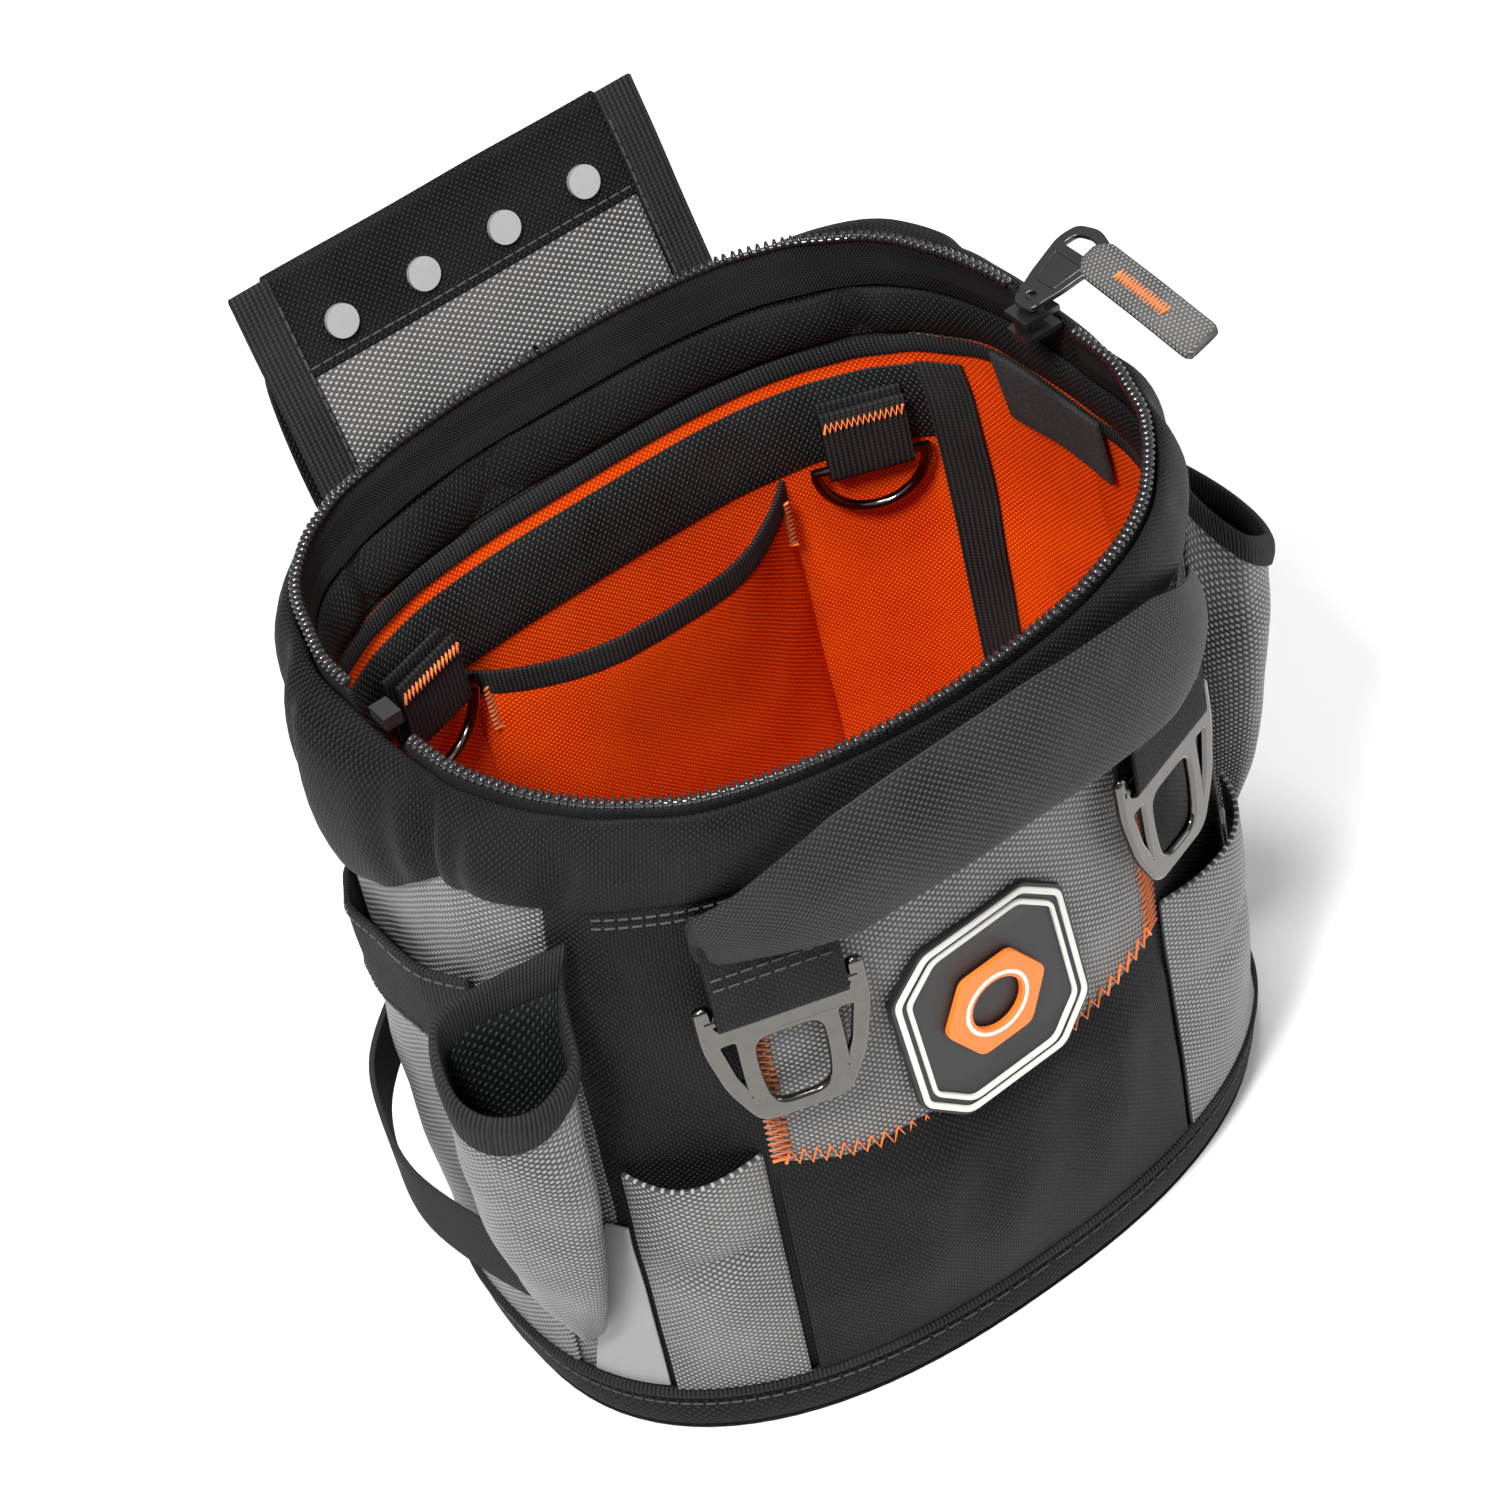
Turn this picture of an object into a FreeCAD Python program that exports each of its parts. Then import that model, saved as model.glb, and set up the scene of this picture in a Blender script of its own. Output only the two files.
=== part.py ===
import FreeCAD, Part
import math
import os
from FreeCAD import Placement, Rotation, Vector

SIZES = {
    # the bag's wall: half width and depths at the base, shoulder and mouth
    "shoulder_height": 185.0, "rim_height": 232.0,
    "base_half_width": 115.0, "shoulder_half_width": 112.0, "mouth_half_width": 106.5,
    "base_front_depth": 78.0, "shoulder_front_depth": 86.0, "mouth_front_depth": 97.0,
    "base_back_depth": 74.0, "shoulder_back_depth": 77.0, "mouth_back_depth": 93.0,
    "front_power": 2.35, "back_power": 2.95,
    # cloth
    "cloth_gap": 0.3, "shell_cloth": 2.6, "pocket_cloth": 1.4, "webbing_cloth": 1.8,
    "binding_cloth": 1.3, "thin_cloth": 0.8,
    # base
    "base_thickness": 2.6, "boot_height": 15.0, "piping_height": 2.6, "board_thickness": 2.5,
    # shell panels
    "seam_height": 200.0, "front_seam_angle": 216.0, "back_seam_angle": 144.0,
    "seam_gap_angle": 0.2,
    # collar, facing and zipper
    "collar_bulge": 4.0, "collar_top": 230.0, "collar_edge": 0.6, "collar_rise": 7.0,
    "tape_height": 13.0, "tape_above_collar": 0.9,
    "facing_height": 14.0, "facing_edge": 2.2, "facing_bulge": 2.2,
    "binding_height": 6.0, "teeth_size": 3.0, "teeth_end_angle": 6.0,
    "slider_length": 11.0, "slider_width": 9.0, "plate_thickness": 1.5, "slider_height": 7.0,
    "slider_inset": 9.0, "slider_above_collar": 2.7, "bail_radius": 0.9, "bail_post": 0.8,
    "pull_rise": 16.0, "tab_length": 24.0, "tab_width": 11.0,
    "tab_thickness": 1.6, "tab_neck": 4.0, "eye_radius": 2.4, "eye_bore": 1.25, "eye_length": 6.0,
    "pull_hole": 3.5, "wrap_bore": 1.9, "wrap_radius": 3.1, "wrap_length": 4.0,
    "pull_width": 14.0, "pull_length": 42.0, "pull_thickness": 3.0,
    "end_stop_inset": 2.4, "end_stop_length": 5.0, "end_stop_width": 7.0,
    # belt flap
    "flap_lean": 22.6, "flap_hinge_depth": 82.0, "flap_hinge_height": 187.0,
    "flap_length": 90.0, "flap_width": 126.0, "flap_cloth": 1.8, "flap_edge_width": 12.0,
    "flap_edge_extra": 0.4, "flap_foot": 2.0, "belt_gap_rise": 6.0, "belt_gap_return": 8.0,
    "flap_band_height": 25.0, "belt_gap": 9.0, "anchor_height": 22.0,
    "rivet_pitch": 25.5, "rivet_drop": 15.0, "rivet_cap_radius": 4.5, "rivet_cap_height": 1.6,
    "rivet_shank_radius": 1.5, "rivet_hole_radius": 1.8,
    # front tabs, rings and handle
    "tab_span": 57.5, "ring_bar_height": 164.0, "ring_tab_width": 34.0, "ring_tab_height": 30.0,
    "ring_tab_thickness": 5.6, "ring_tab_stand_off": 1.6,
    "ring_bar_radius": 1.9, "ring_bar_bore": 2.3,
    "ring_width": 42.0, "ring_drop": 38.0, "ring_thickness": 2.6, "ring_foot_width": 24.0,
    "ring_foot_corner": 4.0, "ring_side": 3.2, "ring_eye": 9.0,
    "handle_left": -86.0, "handle_right": 88.0, "handle_height": 188.0, "handle_reach": 23.0,
    "handle_end_reach": 11.5, "handle_width": 36.0, "handle_end_width": 9.0, "handle_rise": 28.0,
    "handle_thickness": 2.4,
    # front panels
    "patch_left": -66.0, "patch_right": 52.0, "patch_bottom": 90.0, "patch_top": 196.0,
    "emblem_centre": -5.0, "emblem_bottom": 91.5, "emblem_width": 60.0, "emblem_height": 68.0,
    "emblem_corner": 12.0, "emblem_thickness": 2.4,
    "pocket_base": 18.5, "pocket_top": 108.0, "pocket_bulge": 9.0,
    "left_pocket_start": -96.0, "left_pocket_end": -68.0,
    "right_pocket_start": 54.0, "right_pocket_end": 96.0,
    # side pockets and sleeves
    "side_pocket_top": 132.0, "side_webbing_top": 158.0, "side_pocket_bulge": 2.5,
    "side_pocket_start": 150.0, "left_side_pocket_end": 193.0, "right_side_pocket_end": 177.5,
    "left_sleeve_angle": 205.0, "right_sleeve_angle": 190.0,
    "sleeve_base": 36.0, "sleeve_mouth": 166.0, "sleeve_slant": 42.0,
    "sleeve_mouth_half_width": 19.0, "sleeve_mouth_half_depth": 13.5,
    "sleeve_tip_half_width": 9.0, "sleeve_tip_half_depth": 6.5, "sleeve_binding": 11.0,
    "sleeve_stand_off": 2.4, "sleeve_spare": 16.0, "sleeve_room": 160.0,
    "accent_start": 199.0, "accent_end": 212.0, "accent_top": 84.0,
    "loop_stand_off": 7.0, "loop_width": 25.0, "loop_rise": 15.0, "loop_thickness": 1.8,
    "loop_low_height": 44.0, "loop_low_angle": 177.0,
    "loop_high_height": 84.0, "loop_high_angle": 141.0,
    # inside
    "band_bottom": 168.0, "band_top": 193.0, "band_angle": 30.0,
    "phone_left": -53.0, "phone_right": 62.0, "phone_base": 35.0, "phone_top": 160.0,
    "phone_bulge": 24.0, "phone_base_bulge": 5.0, "phone_binding": 7.0,
    "tape_start": 22.0, "seam_tape_bottom": 20.0, "tape_gap_angle": 0.5,
    "inner_bar_height": 168.0, "inner_tab_width": 24.0, "inner_tab_height": 24.0,
    "inner_tab_thickness": 5.2, "inner_bar_radius": 1.6, "inner_bar_bore": 2.0,
    "inner_ring_radius": 15.5, "inner_tab_stand_off": 2.6,
    "right_ring_angle": 53.0, "left_ring_angle": 119.0,
    "patch_start": -9.0, "patch_end": 14.0, "hook_patch_bottom": 181.0,
    "hook_patch_thickness": 1.6,
}

RIVET_COUNT = 4
CURVE_STEP = 6.0

doc = FreeCAD.newDocument("ToolBucket")
sheet = doc.addObject("Spreadsheet::Sheet", "Sizes")
for row, (alias, number) in enumerate(SIZES.items(), start=1):
    sheet.set("A%d" % row, alias)
    sheet.set("B%d" % row, str(number))
    sheet.setAlias("B%d" % row, alias)
doc.recompute()

finished = []


def size(alias):
    """A number from the sheet."""
    return float(sheet.get(alias))


GAP = size("cloth_gap")
SHELL_INSIDE = -size("shell_cloth")
LINING_OUTSIDE = SHELL_INSIDE - GAP
LINING_INSIDE = LINING_OUTSIDE - size("thin_cloth")
INNER_CLOTH = LINING_INSIDE - GAP


def bind(feature, **links):
    """Tie properties of one feature to the sheet."""
    for name, formula in links.items():
        feature.setExpression(name, formula)
    return feature


def keep(feature, label):
    """Name a finished sub-part."""
    feature.Label = label
    finished.append(feature)
    return feature


def cloth(label, shape):
    """A cloth sub-part, whose curved shape comes from the wall's formula."""
    feature = doc.addObject("Part::Feature", label)
    feature.Shape = shape
    feature.Placement = Placement()
    return keep(feature, label)


# ---- the bag's wall ----

def at_height(z, quantity):
    """One measure of the wall at height z, straight from base to shoulder and shoulder to mouth."""
    low, middle, high = (size(s + "_" + quantity) for s in ("base", "shoulder", "mouth"))
    shoulder = size("shoulder_height")
    if z <= shoulder:
        return low + (middle - low) * z / shoulder
    return middle + (high - middle) * (z - shoulder) / (size("rim_height") - shoulder)


def wall_shape(z, angle):
    """Half width, depth and power of the wall's curve on the side the angle is on."""
    side = "back" if math.sin(math.radians(angle)) > 0 else "front"
    return at_height(z, "half_width"), at_height(z, side + "_depth"), size(side + "_power")


def signed_power(value, power):
    return math.copysign(abs(value) ** power, value)


def wall_normal(z, angle):
    """The wall's outward direction, level."""
    wide, deep, power = wall_shape(z, angle)
    turn = math.radians(angle)
    across = signed_power(math.cos(turn), 2 * (power - 1) / power) / wide
    along = signed_power(math.sin(turn), 2 * (power - 1) / power) / deep
    return Vector(across, along, 0).normalize()


def wall_point(z, angle, offset=0.0):
    """A point on the wall; angle 0 is the right end, 90 the back and 270 the front."""
    wide, deep, power = wall_shape(z, angle)
    turn = math.radians(angle)
    x = wide * signed_power(math.cos(turn), 2 / power)
    y = deep * signed_power(math.sin(turn), 2 / power)
    return Vector(x, y, z) + wall_normal(z, angle) * offset


def front_angle(x):
    """The angle of the front wall's point at this x."""
    share = signed_power(x / size("shoulder_half_width"), size("front_power") / 2)
    return 360 - math.degrees(math.acos(share))


def back_angle(x):
    """The angle of the back wall's point at this x."""
    share = signed_power(x / size("shoulder_half_width"), size("back_power") / 2)
    return math.degrees(math.acos(share))


def wall_frame(z, angle, offset, facing=1):
    """A placement on the wall whose own -Y points out of the cloth (facing 1) or into the bag (-1)."""
    normal = wall_normal(z, angle) * facing
    turn = math.degrees(math.atan2(normal.x, -normal.y))
    return Placement(wall_point(z, angle, offset), Rotation(Vector(0, 0, 1), turn))


# ---- cloth solids ----

def spline(points):
    curve = Part.BSplineCurve()
    curve.interpolate(points)
    return curve.toShape()


def with_shoulder(levels):
    """The levels of a panel, with one added where the wall bends at the shoulder."""
    bend = size("shoulder_height")
    result = [levels[0]]
    for low, high in zip(levels, levels[1:]):
        if low[0] < bend - 0.01 and high[0] > bend + 0.01:
            share = (bend - low[0]) / (high[0] - low[0])
            result.append(tuple(a + (b - a) * share for a, b in zip(low, high)))
        result.append(high)
    return result


def panel_wire(level, start, end):
    """One closed section of a cloth panel: z, inner offset, outer offset and bulge."""
    z, inner, outer, bulge = level
    count = max(5, int(abs(end - start) / CURVE_STEP) + 2)
    shares = [i / (count - 1) for i in range(count)]
    angles = [start + (end - start) * s for s in shares]
    lifts = [bulge * math.sin(math.pi * s) for s in shares]
    outside = [wall_point(z, a, outer + lift) for a, lift in zip(angles, lifts)]
    inside = [wall_point(z, a, inner + lift) for a, lift in zip(angles, lifts)][::-1]
    edges = [spline(outside), Part.makeLine(outside[-1], inside[0])]
    edges += [spline(inside), Part.makeLine(inside[-1], outside[0])]
    return Part.Wire(edges)


def panel(levels, start, end):
    """A cloth panel that follows the wall between two angles."""
    return Part.makeLoft([panel_wire(lv, start, end) for lv in with_shoulder(levels)], True, True)


def flat_panel(bottom, top, start, end, inner, thickness):
    return panel([(z, inner, inner + thickness, 0.0) for z in (bottom, top)], start, end)


def closed_wire(z, offset):
    steps = int(360 / CURVE_STEP)
    curve = Part.BSplineCurve()
    points = [wall_point(z, i * CURVE_STEP, offset) for i in range(steps)]
    curve.interpolate(Points=points, PeriodicFlag=True)
    return Part.Wire([curve.toShape()])


def filled(levels):
    """A solid inside the wall's whole outline; each level is z and offset."""
    return Part.makeLoft([closed_wire(z, offset) for z, offset in with_shoulder(levels)], True, True)


def ring(levels):
    """A cloth band right round the wall; each level is z, inner offset and outer offset."""
    outside = filled([(z, outer) for z, inner, outer in levels])
    tops = [(z, inner) for z, inner, outer in levels]
    low = (tops[0][0] - 1.0, tops[0][1])
    high = (tops[-1][0] + 1.0, tops[-1][1])
    return outside.cut(filled([low] + tops[1:-1] + [high]))


def mirrored(angle):
    """The same angle on the other side of the bag."""
    return 180.0 - angle


def left_and_right(name, build):
    """A left piece and a right one; both are built on the left, and the right one is mirrored over."""
    cloth(name + "_left", build("left"))
    cloth(name + "_right", build("right").mirror(Vector(), Vector(1, 0, 0)))


# ---- base, shell and lining ----

def base_pieces():
    thickness = size("base_thickness")
    board_bottom = thickness + GAP
    board_top = board_bottom + size("board_thickness")
    board_edge = LINING_OUTSIDE - GAP
    inner_floor = board_top + GAP
    boot_top = size("boot_height")
    boot_face = GAP + size("pocket_cloth")
    cloth("base_panel", filled([(0.0, 0.0), (thickness, 0.0)]))
    cloth("base_stiffener", filled([(board_bottom, board_edge), (board_top, board_edge)]))
    cloth("boot_band", ring([(board_bottom, GAP, boot_face), (boot_top, GAP, boot_face)]))
    piping_bottom = boot_top + GAP
    piping_top = piping_bottom + size("piping_height")
    piping_face = GAP + size("piping_height")
    cloth("base_piping", ring([(piping_bottom, GAP, piping_face), (piping_top, GAP, piping_face)]))
    lining_top = size("seam_height") + 1.0
    outside = filled([(inner_floor, LINING_OUTSIDE), (lining_top, LINING_OUTSIDE)])
    inside = filled([(inner_floor + size("thin_cloth"), LINING_INSIDE), (lining_top + 1, LINING_INSIDE)])
    cloth("lining", outside.cut(inside))


def shell_panels():
    bottom = size("base_thickness") + GAP
    top = size("seam_height") - GAP
    front = size("front_seam_angle")
    back = size("back_seam_angle")
    gap_angle = size("seam_gap_angle")
    thick = size("shell_cloth")
    cloth("front_panel", flat_panel(bottom, top, front, 540 - front, SHELL_INSIDE, thick))
    cloth("back_panel", flat_panel(bottom, top, mirrored(back), back, SHELL_INSIDE, thick))
    left_and_right("side_panel", lambda side: flat_panel(
        bottom, top, back + gap_angle, front - gap_angle, SHELL_INSIDE, thick))


def collar_pieces():
    seam = size("seam_height")
    top = size("collar_top")
    bulge = size("collar_bulge")
    rise = size("collar_rise")
    cloth("collar", ring([
        (seam, SHELL_INSIDE, size("collar_edge")), (seam + rise, SHELL_INSIDE, bulge),
        (top - rise - GAP, SHELL_INSIDE, bulge), (top, SHELL_INSIDE, 0.0)]))
    tape_bottom = top - size("tape_height")
    tape_top = top + size("tape_above_collar")
    facing_bottom = tape_bottom - GAP - size("facing_height")
    binding_bottom = facing_bottom - size("binding_height")
    start = size("teeth_end_angle")
    for side, low, high in (("rear", start, 180 - start), ("front", 180 + start, 360 - start)):
        cloth("zipper_tape_" + side, flat_panel(
            tape_bottom, tape_top, low, high, LINING_OUTSIDE - size("pocket_cloth"), size("pocket_cloth")))
        teeth = size("teeth_size")
        teeth_bottom = tape_top + GAP
        cloth("zipper_teeth_" + side, flat_panel(
            teeth_bottom, teeth_bottom + teeth, low, high, LINING_OUTSIDE - teeth, teeth))
    facing_top = tape_bottom - GAP
    middle = (facing_top + facing_bottom) / 2
    edge = LINING_OUTSIDE - size("facing_edge")
    cloth("collar_facing", ring([
        (facing_bottom, edge, LINING_OUTSIDE), (middle, edge - size("facing_bulge"), LINING_OUTSIDE),
        (facing_top, edge, LINING_OUTSIDE)]))
    binding_face = INNER_CLOTH - size("pocket_cloth")
    cloth("lining_binding", ring([
        (z, binding_face, INNER_CLOTH) for z in (binding_bottom, facing_bottom - GAP)]))


# ---- zipper hardware ----

def box(length, width, height, corner, frame=Placement()):
    """A block whose three sizes are formulas and whose corner is given in a frame."""
    block = doc.addObject("Part::Box", "Block")
    bind(block, Length=length, Width=width, Height=height)
    block.Placement = frame.multiply(Placement(Vector(*corner), Rotation()))
    return block


def rod(radius, height, centre, direction, frame=Placement()):
    """A cylinder along a direction, centred on a point of a frame."""
    cylinder = doc.addObject("Part::Cylinder", "Rod")
    bind(cylinder, Radius=radius, Height=height)
    doc.recompute()
    turn = Rotation(Vector(0, 0, 1), Vector(*direction))
    start = Vector(*centre) - Vector(*direction) * (cylinder.Height.Value / 2)
    cylinder.Placement = frame.multiply(Placement(start, turn))
    return cylinder


def fuse(pieces):
    joined = doc.addObject("Part::MultiFuse", "Joined")
    joined.Shapes = pieces
    return joined


def cut(base, tool):
    result = doc.addObject("Part::Cut", "CutAway")
    result.Base = base
    result.Tool = tool
    return result


def slider_centre():
    x = size("mouth_half_width") - size("slider_inset")
    return Vector(x, 0, size("collar_top") + size("slider_above_collar"))


def zipper_slider():
    length, width = size("slider_length"), size("slider_width")
    plate, height = size("plate_thickness"), size("slider_height")
    frame = Placement(slider_centre(), Rotation())
    low = box("Sizes.slider_length", "Sizes.slider_width", "Sizes.plate_thickness",
              (-length / 2, -width / 2, -height / 2), frame)
    high = box("Sizes.slider_length", "Sizes.slider_width", "Sizes.plate_thickness",
               (-length / 2, -width / 2, height / 2 - plate), frame)
    post = box("Sizes.slider_length / 3", "Sizes.plate_thickness", "Sizes.slider_height",
               (-length / 2, -plate / 2, -height / 2), frame)
    inside, side = size("eye_length") / 2 + size("bail_post") / 2, size("bail_post")
    rise = bail_height() + size("bail_radius") - height / 2 + plate / 2
    bar = rod("Sizes.bail_radius", "Sizes.eye_length + 3 * Sizes.bail_post", (0, 0, bail_height()),
              (0, 1, 0), frame)
    posts = [box("2 * Sizes.bail_radius", "Sizes.bail_post", "%f" % rise,
                 (-size("bail_radius"), y, height / 2 - plate / 2), frame)
             for y in (-inside - side, inside)]
    keep(fuse([low, high, post, bar] + posts), "zipper_slider")


def bail_height():
    """Height of the pull's axis above the slider's centre."""
    return size("slider_height") / 2 + size("eye_radius") + size("bail_post") / 2


def pull_frame():
    """The pull's own frame: origin on the bail, X along the tab."""
    origin = slider_centre() + Vector(0, 0, bail_height())
    return Placement(origin, Rotation(Vector(0, 1, 0), -size("pull_rise")))


def pull_tab():
    frame = pull_frame()
    length, width, thick = size("tab_length"), size("tab_width"), size("tab_thickness")
    hole_x = length - width / 2
    neck_end = size("tab_neck")
    plate = box("Sizes.tab_length - Sizes.tab_width / 2 - Sizes.tab_neck", "Sizes.tab_width",
                "Sizes.tab_thickness", (neck_end, -width / 2, -thick / 2), frame)
    neck = box("Sizes.tab_neck", "Sizes.eye_length", "Sizes.tab_thickness",
               (size("eye_bore") + GAP, -size("eye_length") / 2, -thick / 2), frame)
    end = rod("Sizes.tab_width / 2", "Sizes.tab_thickness", (hole_x, 0, 0), (0, 0, 1), frame)
    eye = rod("Sizes.eye_radius", "Sizes.eye_length", (0, 0, 0), (0, 1, 0), frame)
    solid = fuse([plate, neck, end, eye])
    bore = rod("Sizes.eye_bore", "Sizes.eye_length + 2", (0, 0, 0), (0, 1, 0), frame)
    hole = rod("Sizes.pull_hole", "Sizes.tab_thickness + 2", (hole_x, 0, 0), (0, 0, 1), frame)
    keep(cut(solid, fuse([bore, hole])), "pull_tab")


def pull_loop_centre():
    """The point of the tab's rim that the webbing pull turns round, in the pull's frame."""
    hole_x = size("tab_length") - size("tab_width") / 2
    return Vector(hole_x, -(size("tab_width") / 2 + size("pull_hole")) / 2, 0)


def pull_loop():
    frame = pull_frame()
    centre = pull_loop_centre()
    thick, width = size("pull_thickness"), size("pull_width")
    neck_length = size("pull_thickness") / 2
    strip_start = centre.y - size("wrap_radius") - neck_length / 4
    wrap = rod("Sizes.wrap_radius", "Sizes.wrap_length", tuple(centre), (1, 0, 0), frame)
    strip = box("Sizes.pull_width", "Sizes.pull_length", "Sizes.pull_thickness",
                (centre.x - width / 2, strip_start - size("pull_length"), -thick / 2), frame)
    neck = box("Sizes.wrap_length", "Sizes.pull_thickness / 2", "Sizes.pull_thickness",
               (centre.x - size("wrap_length") / 2, strip_start - neck_length / 4, -thick / 2), frame)
    bore = rod("Sizes.wrap_bore", "Sizes.wrap_length + 2", tuple(centre), (1, 0, 0), frame)
    keep(cut(fuse([wrap, strip, neck]), bore), "pull_loop")


def end_stop():
    """The closed end of the zipper, which holds both rows of teeth together."""
    corner = (-size("mouth_half_width") + size("end_stop_inset"), -size("end_stop_width") / 2,
              size("collar_top") + size("tape_above_collar") + GAP)
    keep(box("Sizes.end_stop_length", "Sizes.end_stop_width", "Sizes.teeth_size * 1.25", corner),
         "zipper_end_stop")


# ---- belt flap ----

def flap_frame():
    """The flap's own frame: origin on the sewn line, X along it, Z up the flap, Y to the back."""
    origin = Vector(0, size("flap_hinge_depth"), size("flap_hinge_height"))
    return Placement(origin, Rotation(Vector(1, 0, 0), -size("flap_lean")))


def rivet_places():
    first = -size("rivet_pitch") * (RIVET_COUNT - 1) / 2
    return [first + size("rivet_pitch") * i for i in range(RIVET_COUNT)]


def rivet_height():
    return size("flap_length") - size("rivet_drop")


def rivet_holes(frame):
    return fuse([rod("Sizes.rivet_hole_radius", "4 * Sizes.flap_cloth", (x, 0, rivet_height()),
                     (0, 1, 0), frame) for x in rivet_places()])


def flap_face():
    frame = flap_frame()
    edge = size("flap_edge_width")
    inner = size("flap_width") / 2 - edge
    band = size("flap_band_height")
    face_width = "Sizes.flap_width - 2 * Sizes.flap_edge_width - 2 * Sizes.cloth_gap"
    foot, extra = size("flap_foot"), size("flap_edge_extra")
    keep(box(face_width, "Sizes.flap_cloth - Sizes.flap_edge_extra",
             "Sizes.flap_length - Sizes.flap_band_height - Sizes.flap_foot - Sizes.cloth_gap",
             (-inner + GAP, 0, foot), frame), "flap_face_panel")
    band_box = box(face_width, "Sizes.flap_cloth", "Sizes.flap_band_height",
                   (-inner + GAP, 0, size("flap_length") - band), frame)
    keep(cut(band_box, rivet_holes(frame)), "flap_top_band")
    for side, x in (("left", -inner - edge), ("right", inner)):
        keep(box("Sizes.flap_edge_width", "Sizes.flap_cloth + Sizes.flap_edge_extra",
                 "Sizes.flap_length - Sizes.flap_foot", (x, -extra, foot), frame), "flap_edge_" + side)


def flap_back_layer():
    """The belt loop's back layer: bowed over the belt, flat under the rivets."""
    cloth_size = size("flap_cloth")
    near = cloth_size + GAP
    far = near + size("belt_gap")
    foot = size("flap_foot") + 1
    flat_from = rivet_height() - size("rivet_cap_radius") - 2
    outline = [(foot, near), (foot + size("belt_gap_rise"), far), (flat_from - size("belt_gap_return"), far),
               (flat_from, near), (size("flap_length"), near)]
    frame = flap_frame()
    backward = frame.Rotation.multVec(Vector(0, 1, 0))
    side = -size("flap_width") / 2 + 1
    inside = [frame.multVec(Vector(side, depth, height)) for height, depth in outline]
    outside = [point + backward * cloth_size for point in inside]
    face = Part.Face(Part.makePolygon(inside + outside[::-1] + inside[:1]))
    solid = face.extrude(Vector(-2 * side, 0, 0))
    for x in rivet_places():
        start = frame.multVec(Vector(x, near - 1, rivet_height()))
        solid = solid.cut(Part.makeCylinder(size("rivet_hole_radius"), cloth_size + 2, start, backward))
    cloth("flap_back_layer", solid)


def belt_rivets():
    frame = flap_frame()
    cap, layers = size("rivet_cap_height"), 2 * size("flap_cloth") + GAP
    height = rivet_height()
    rivets = []
    for x in rivet_places():
        front, back = [
            rod("Sizes.rivet_cap_radius", "Sizes.rivet_cap_height", (x, y, height), (0, 1, 0), frame)
            for y in (-GAP / 2 - cap / 2, layers + GAP / 2 + cap / 2)]
        shank = rod("Sizes.rivet_shank_radius", "2 * Sizes.flap_cloth + 2 * Sizes.rivet_cap_height",
                    (x, layers / 2, height), (0, 1, 0), frame)
        rivets.append(fuse([front, back, shank]))
    group = doc.addObject("Part::Compound", "RivetGroup")
    group.Links = rivets
    keep(group, "belt_rivets")


def flap_anchor():
    """The webbing sewn across the back, which the flap hangs on."""
    top = size("flap_hinge_height") - 3
    half = size("flap_width") / 2 - 3
    cloth("flap_anchor", flat_panel(
        top - size("anchor_height"), top, back_angle(half), back_angle(-half), GAP, size("pocket_cloth") + 1))


# ---- rings and their webbing tabs ----

def ring_tab(label, prefix, bar_frame, bore_formula):
    """A folded webbing tab that a ring's bar runs through; the bar is on the frame's X."""
    width, thick = size(prefix + "_width"), size(prefix + "_thickness")
    block = box("Sizes.%s_width" % prefix, "Sizes.%s_thickness" % prefix, "Sizes.%s_height" % prefix,
                (-width / 2, -thick / 2, -thick / 2), bar_frame)
    bore = rod(bore_formula, "Sizes.%s_width + 4" % prefix, (0, 0, 0), (1, 0, 0), bar_frame)
    keep(cut(block, bore), label)


def front_ring_frame(side):
    """The bar of a front ring; side is -1 on the left and 1 on the right."""
    patch_face = GAP + size("pocket_cloth")
    offset = patch_face + GAP + size("ring_tab_thickness") / 2 + size("ring_tab_stand_off")
    return wall_frame(size("ring_bar_height"), front_angle(side * size("tab_span")), offset)


def sketch_on(body, role):
    plane = [f for f in body.Origin.OriginFeatures if f.Role == role][0]
    sketch = body.newObject("Sketcher::SketchObject", "Outline")
    sketch.AttachmentSupport = [(plane, "")]
    sketch.MapMode = "FlatFace"
    return sketch


def add_outline(sketch, points):
    for start, end in zip(points, points[1:] + points[:1]):
        sketch.addGeometry(Part.LineSegment(Vector(*start, 0), Vector(*end, 0)))


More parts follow.
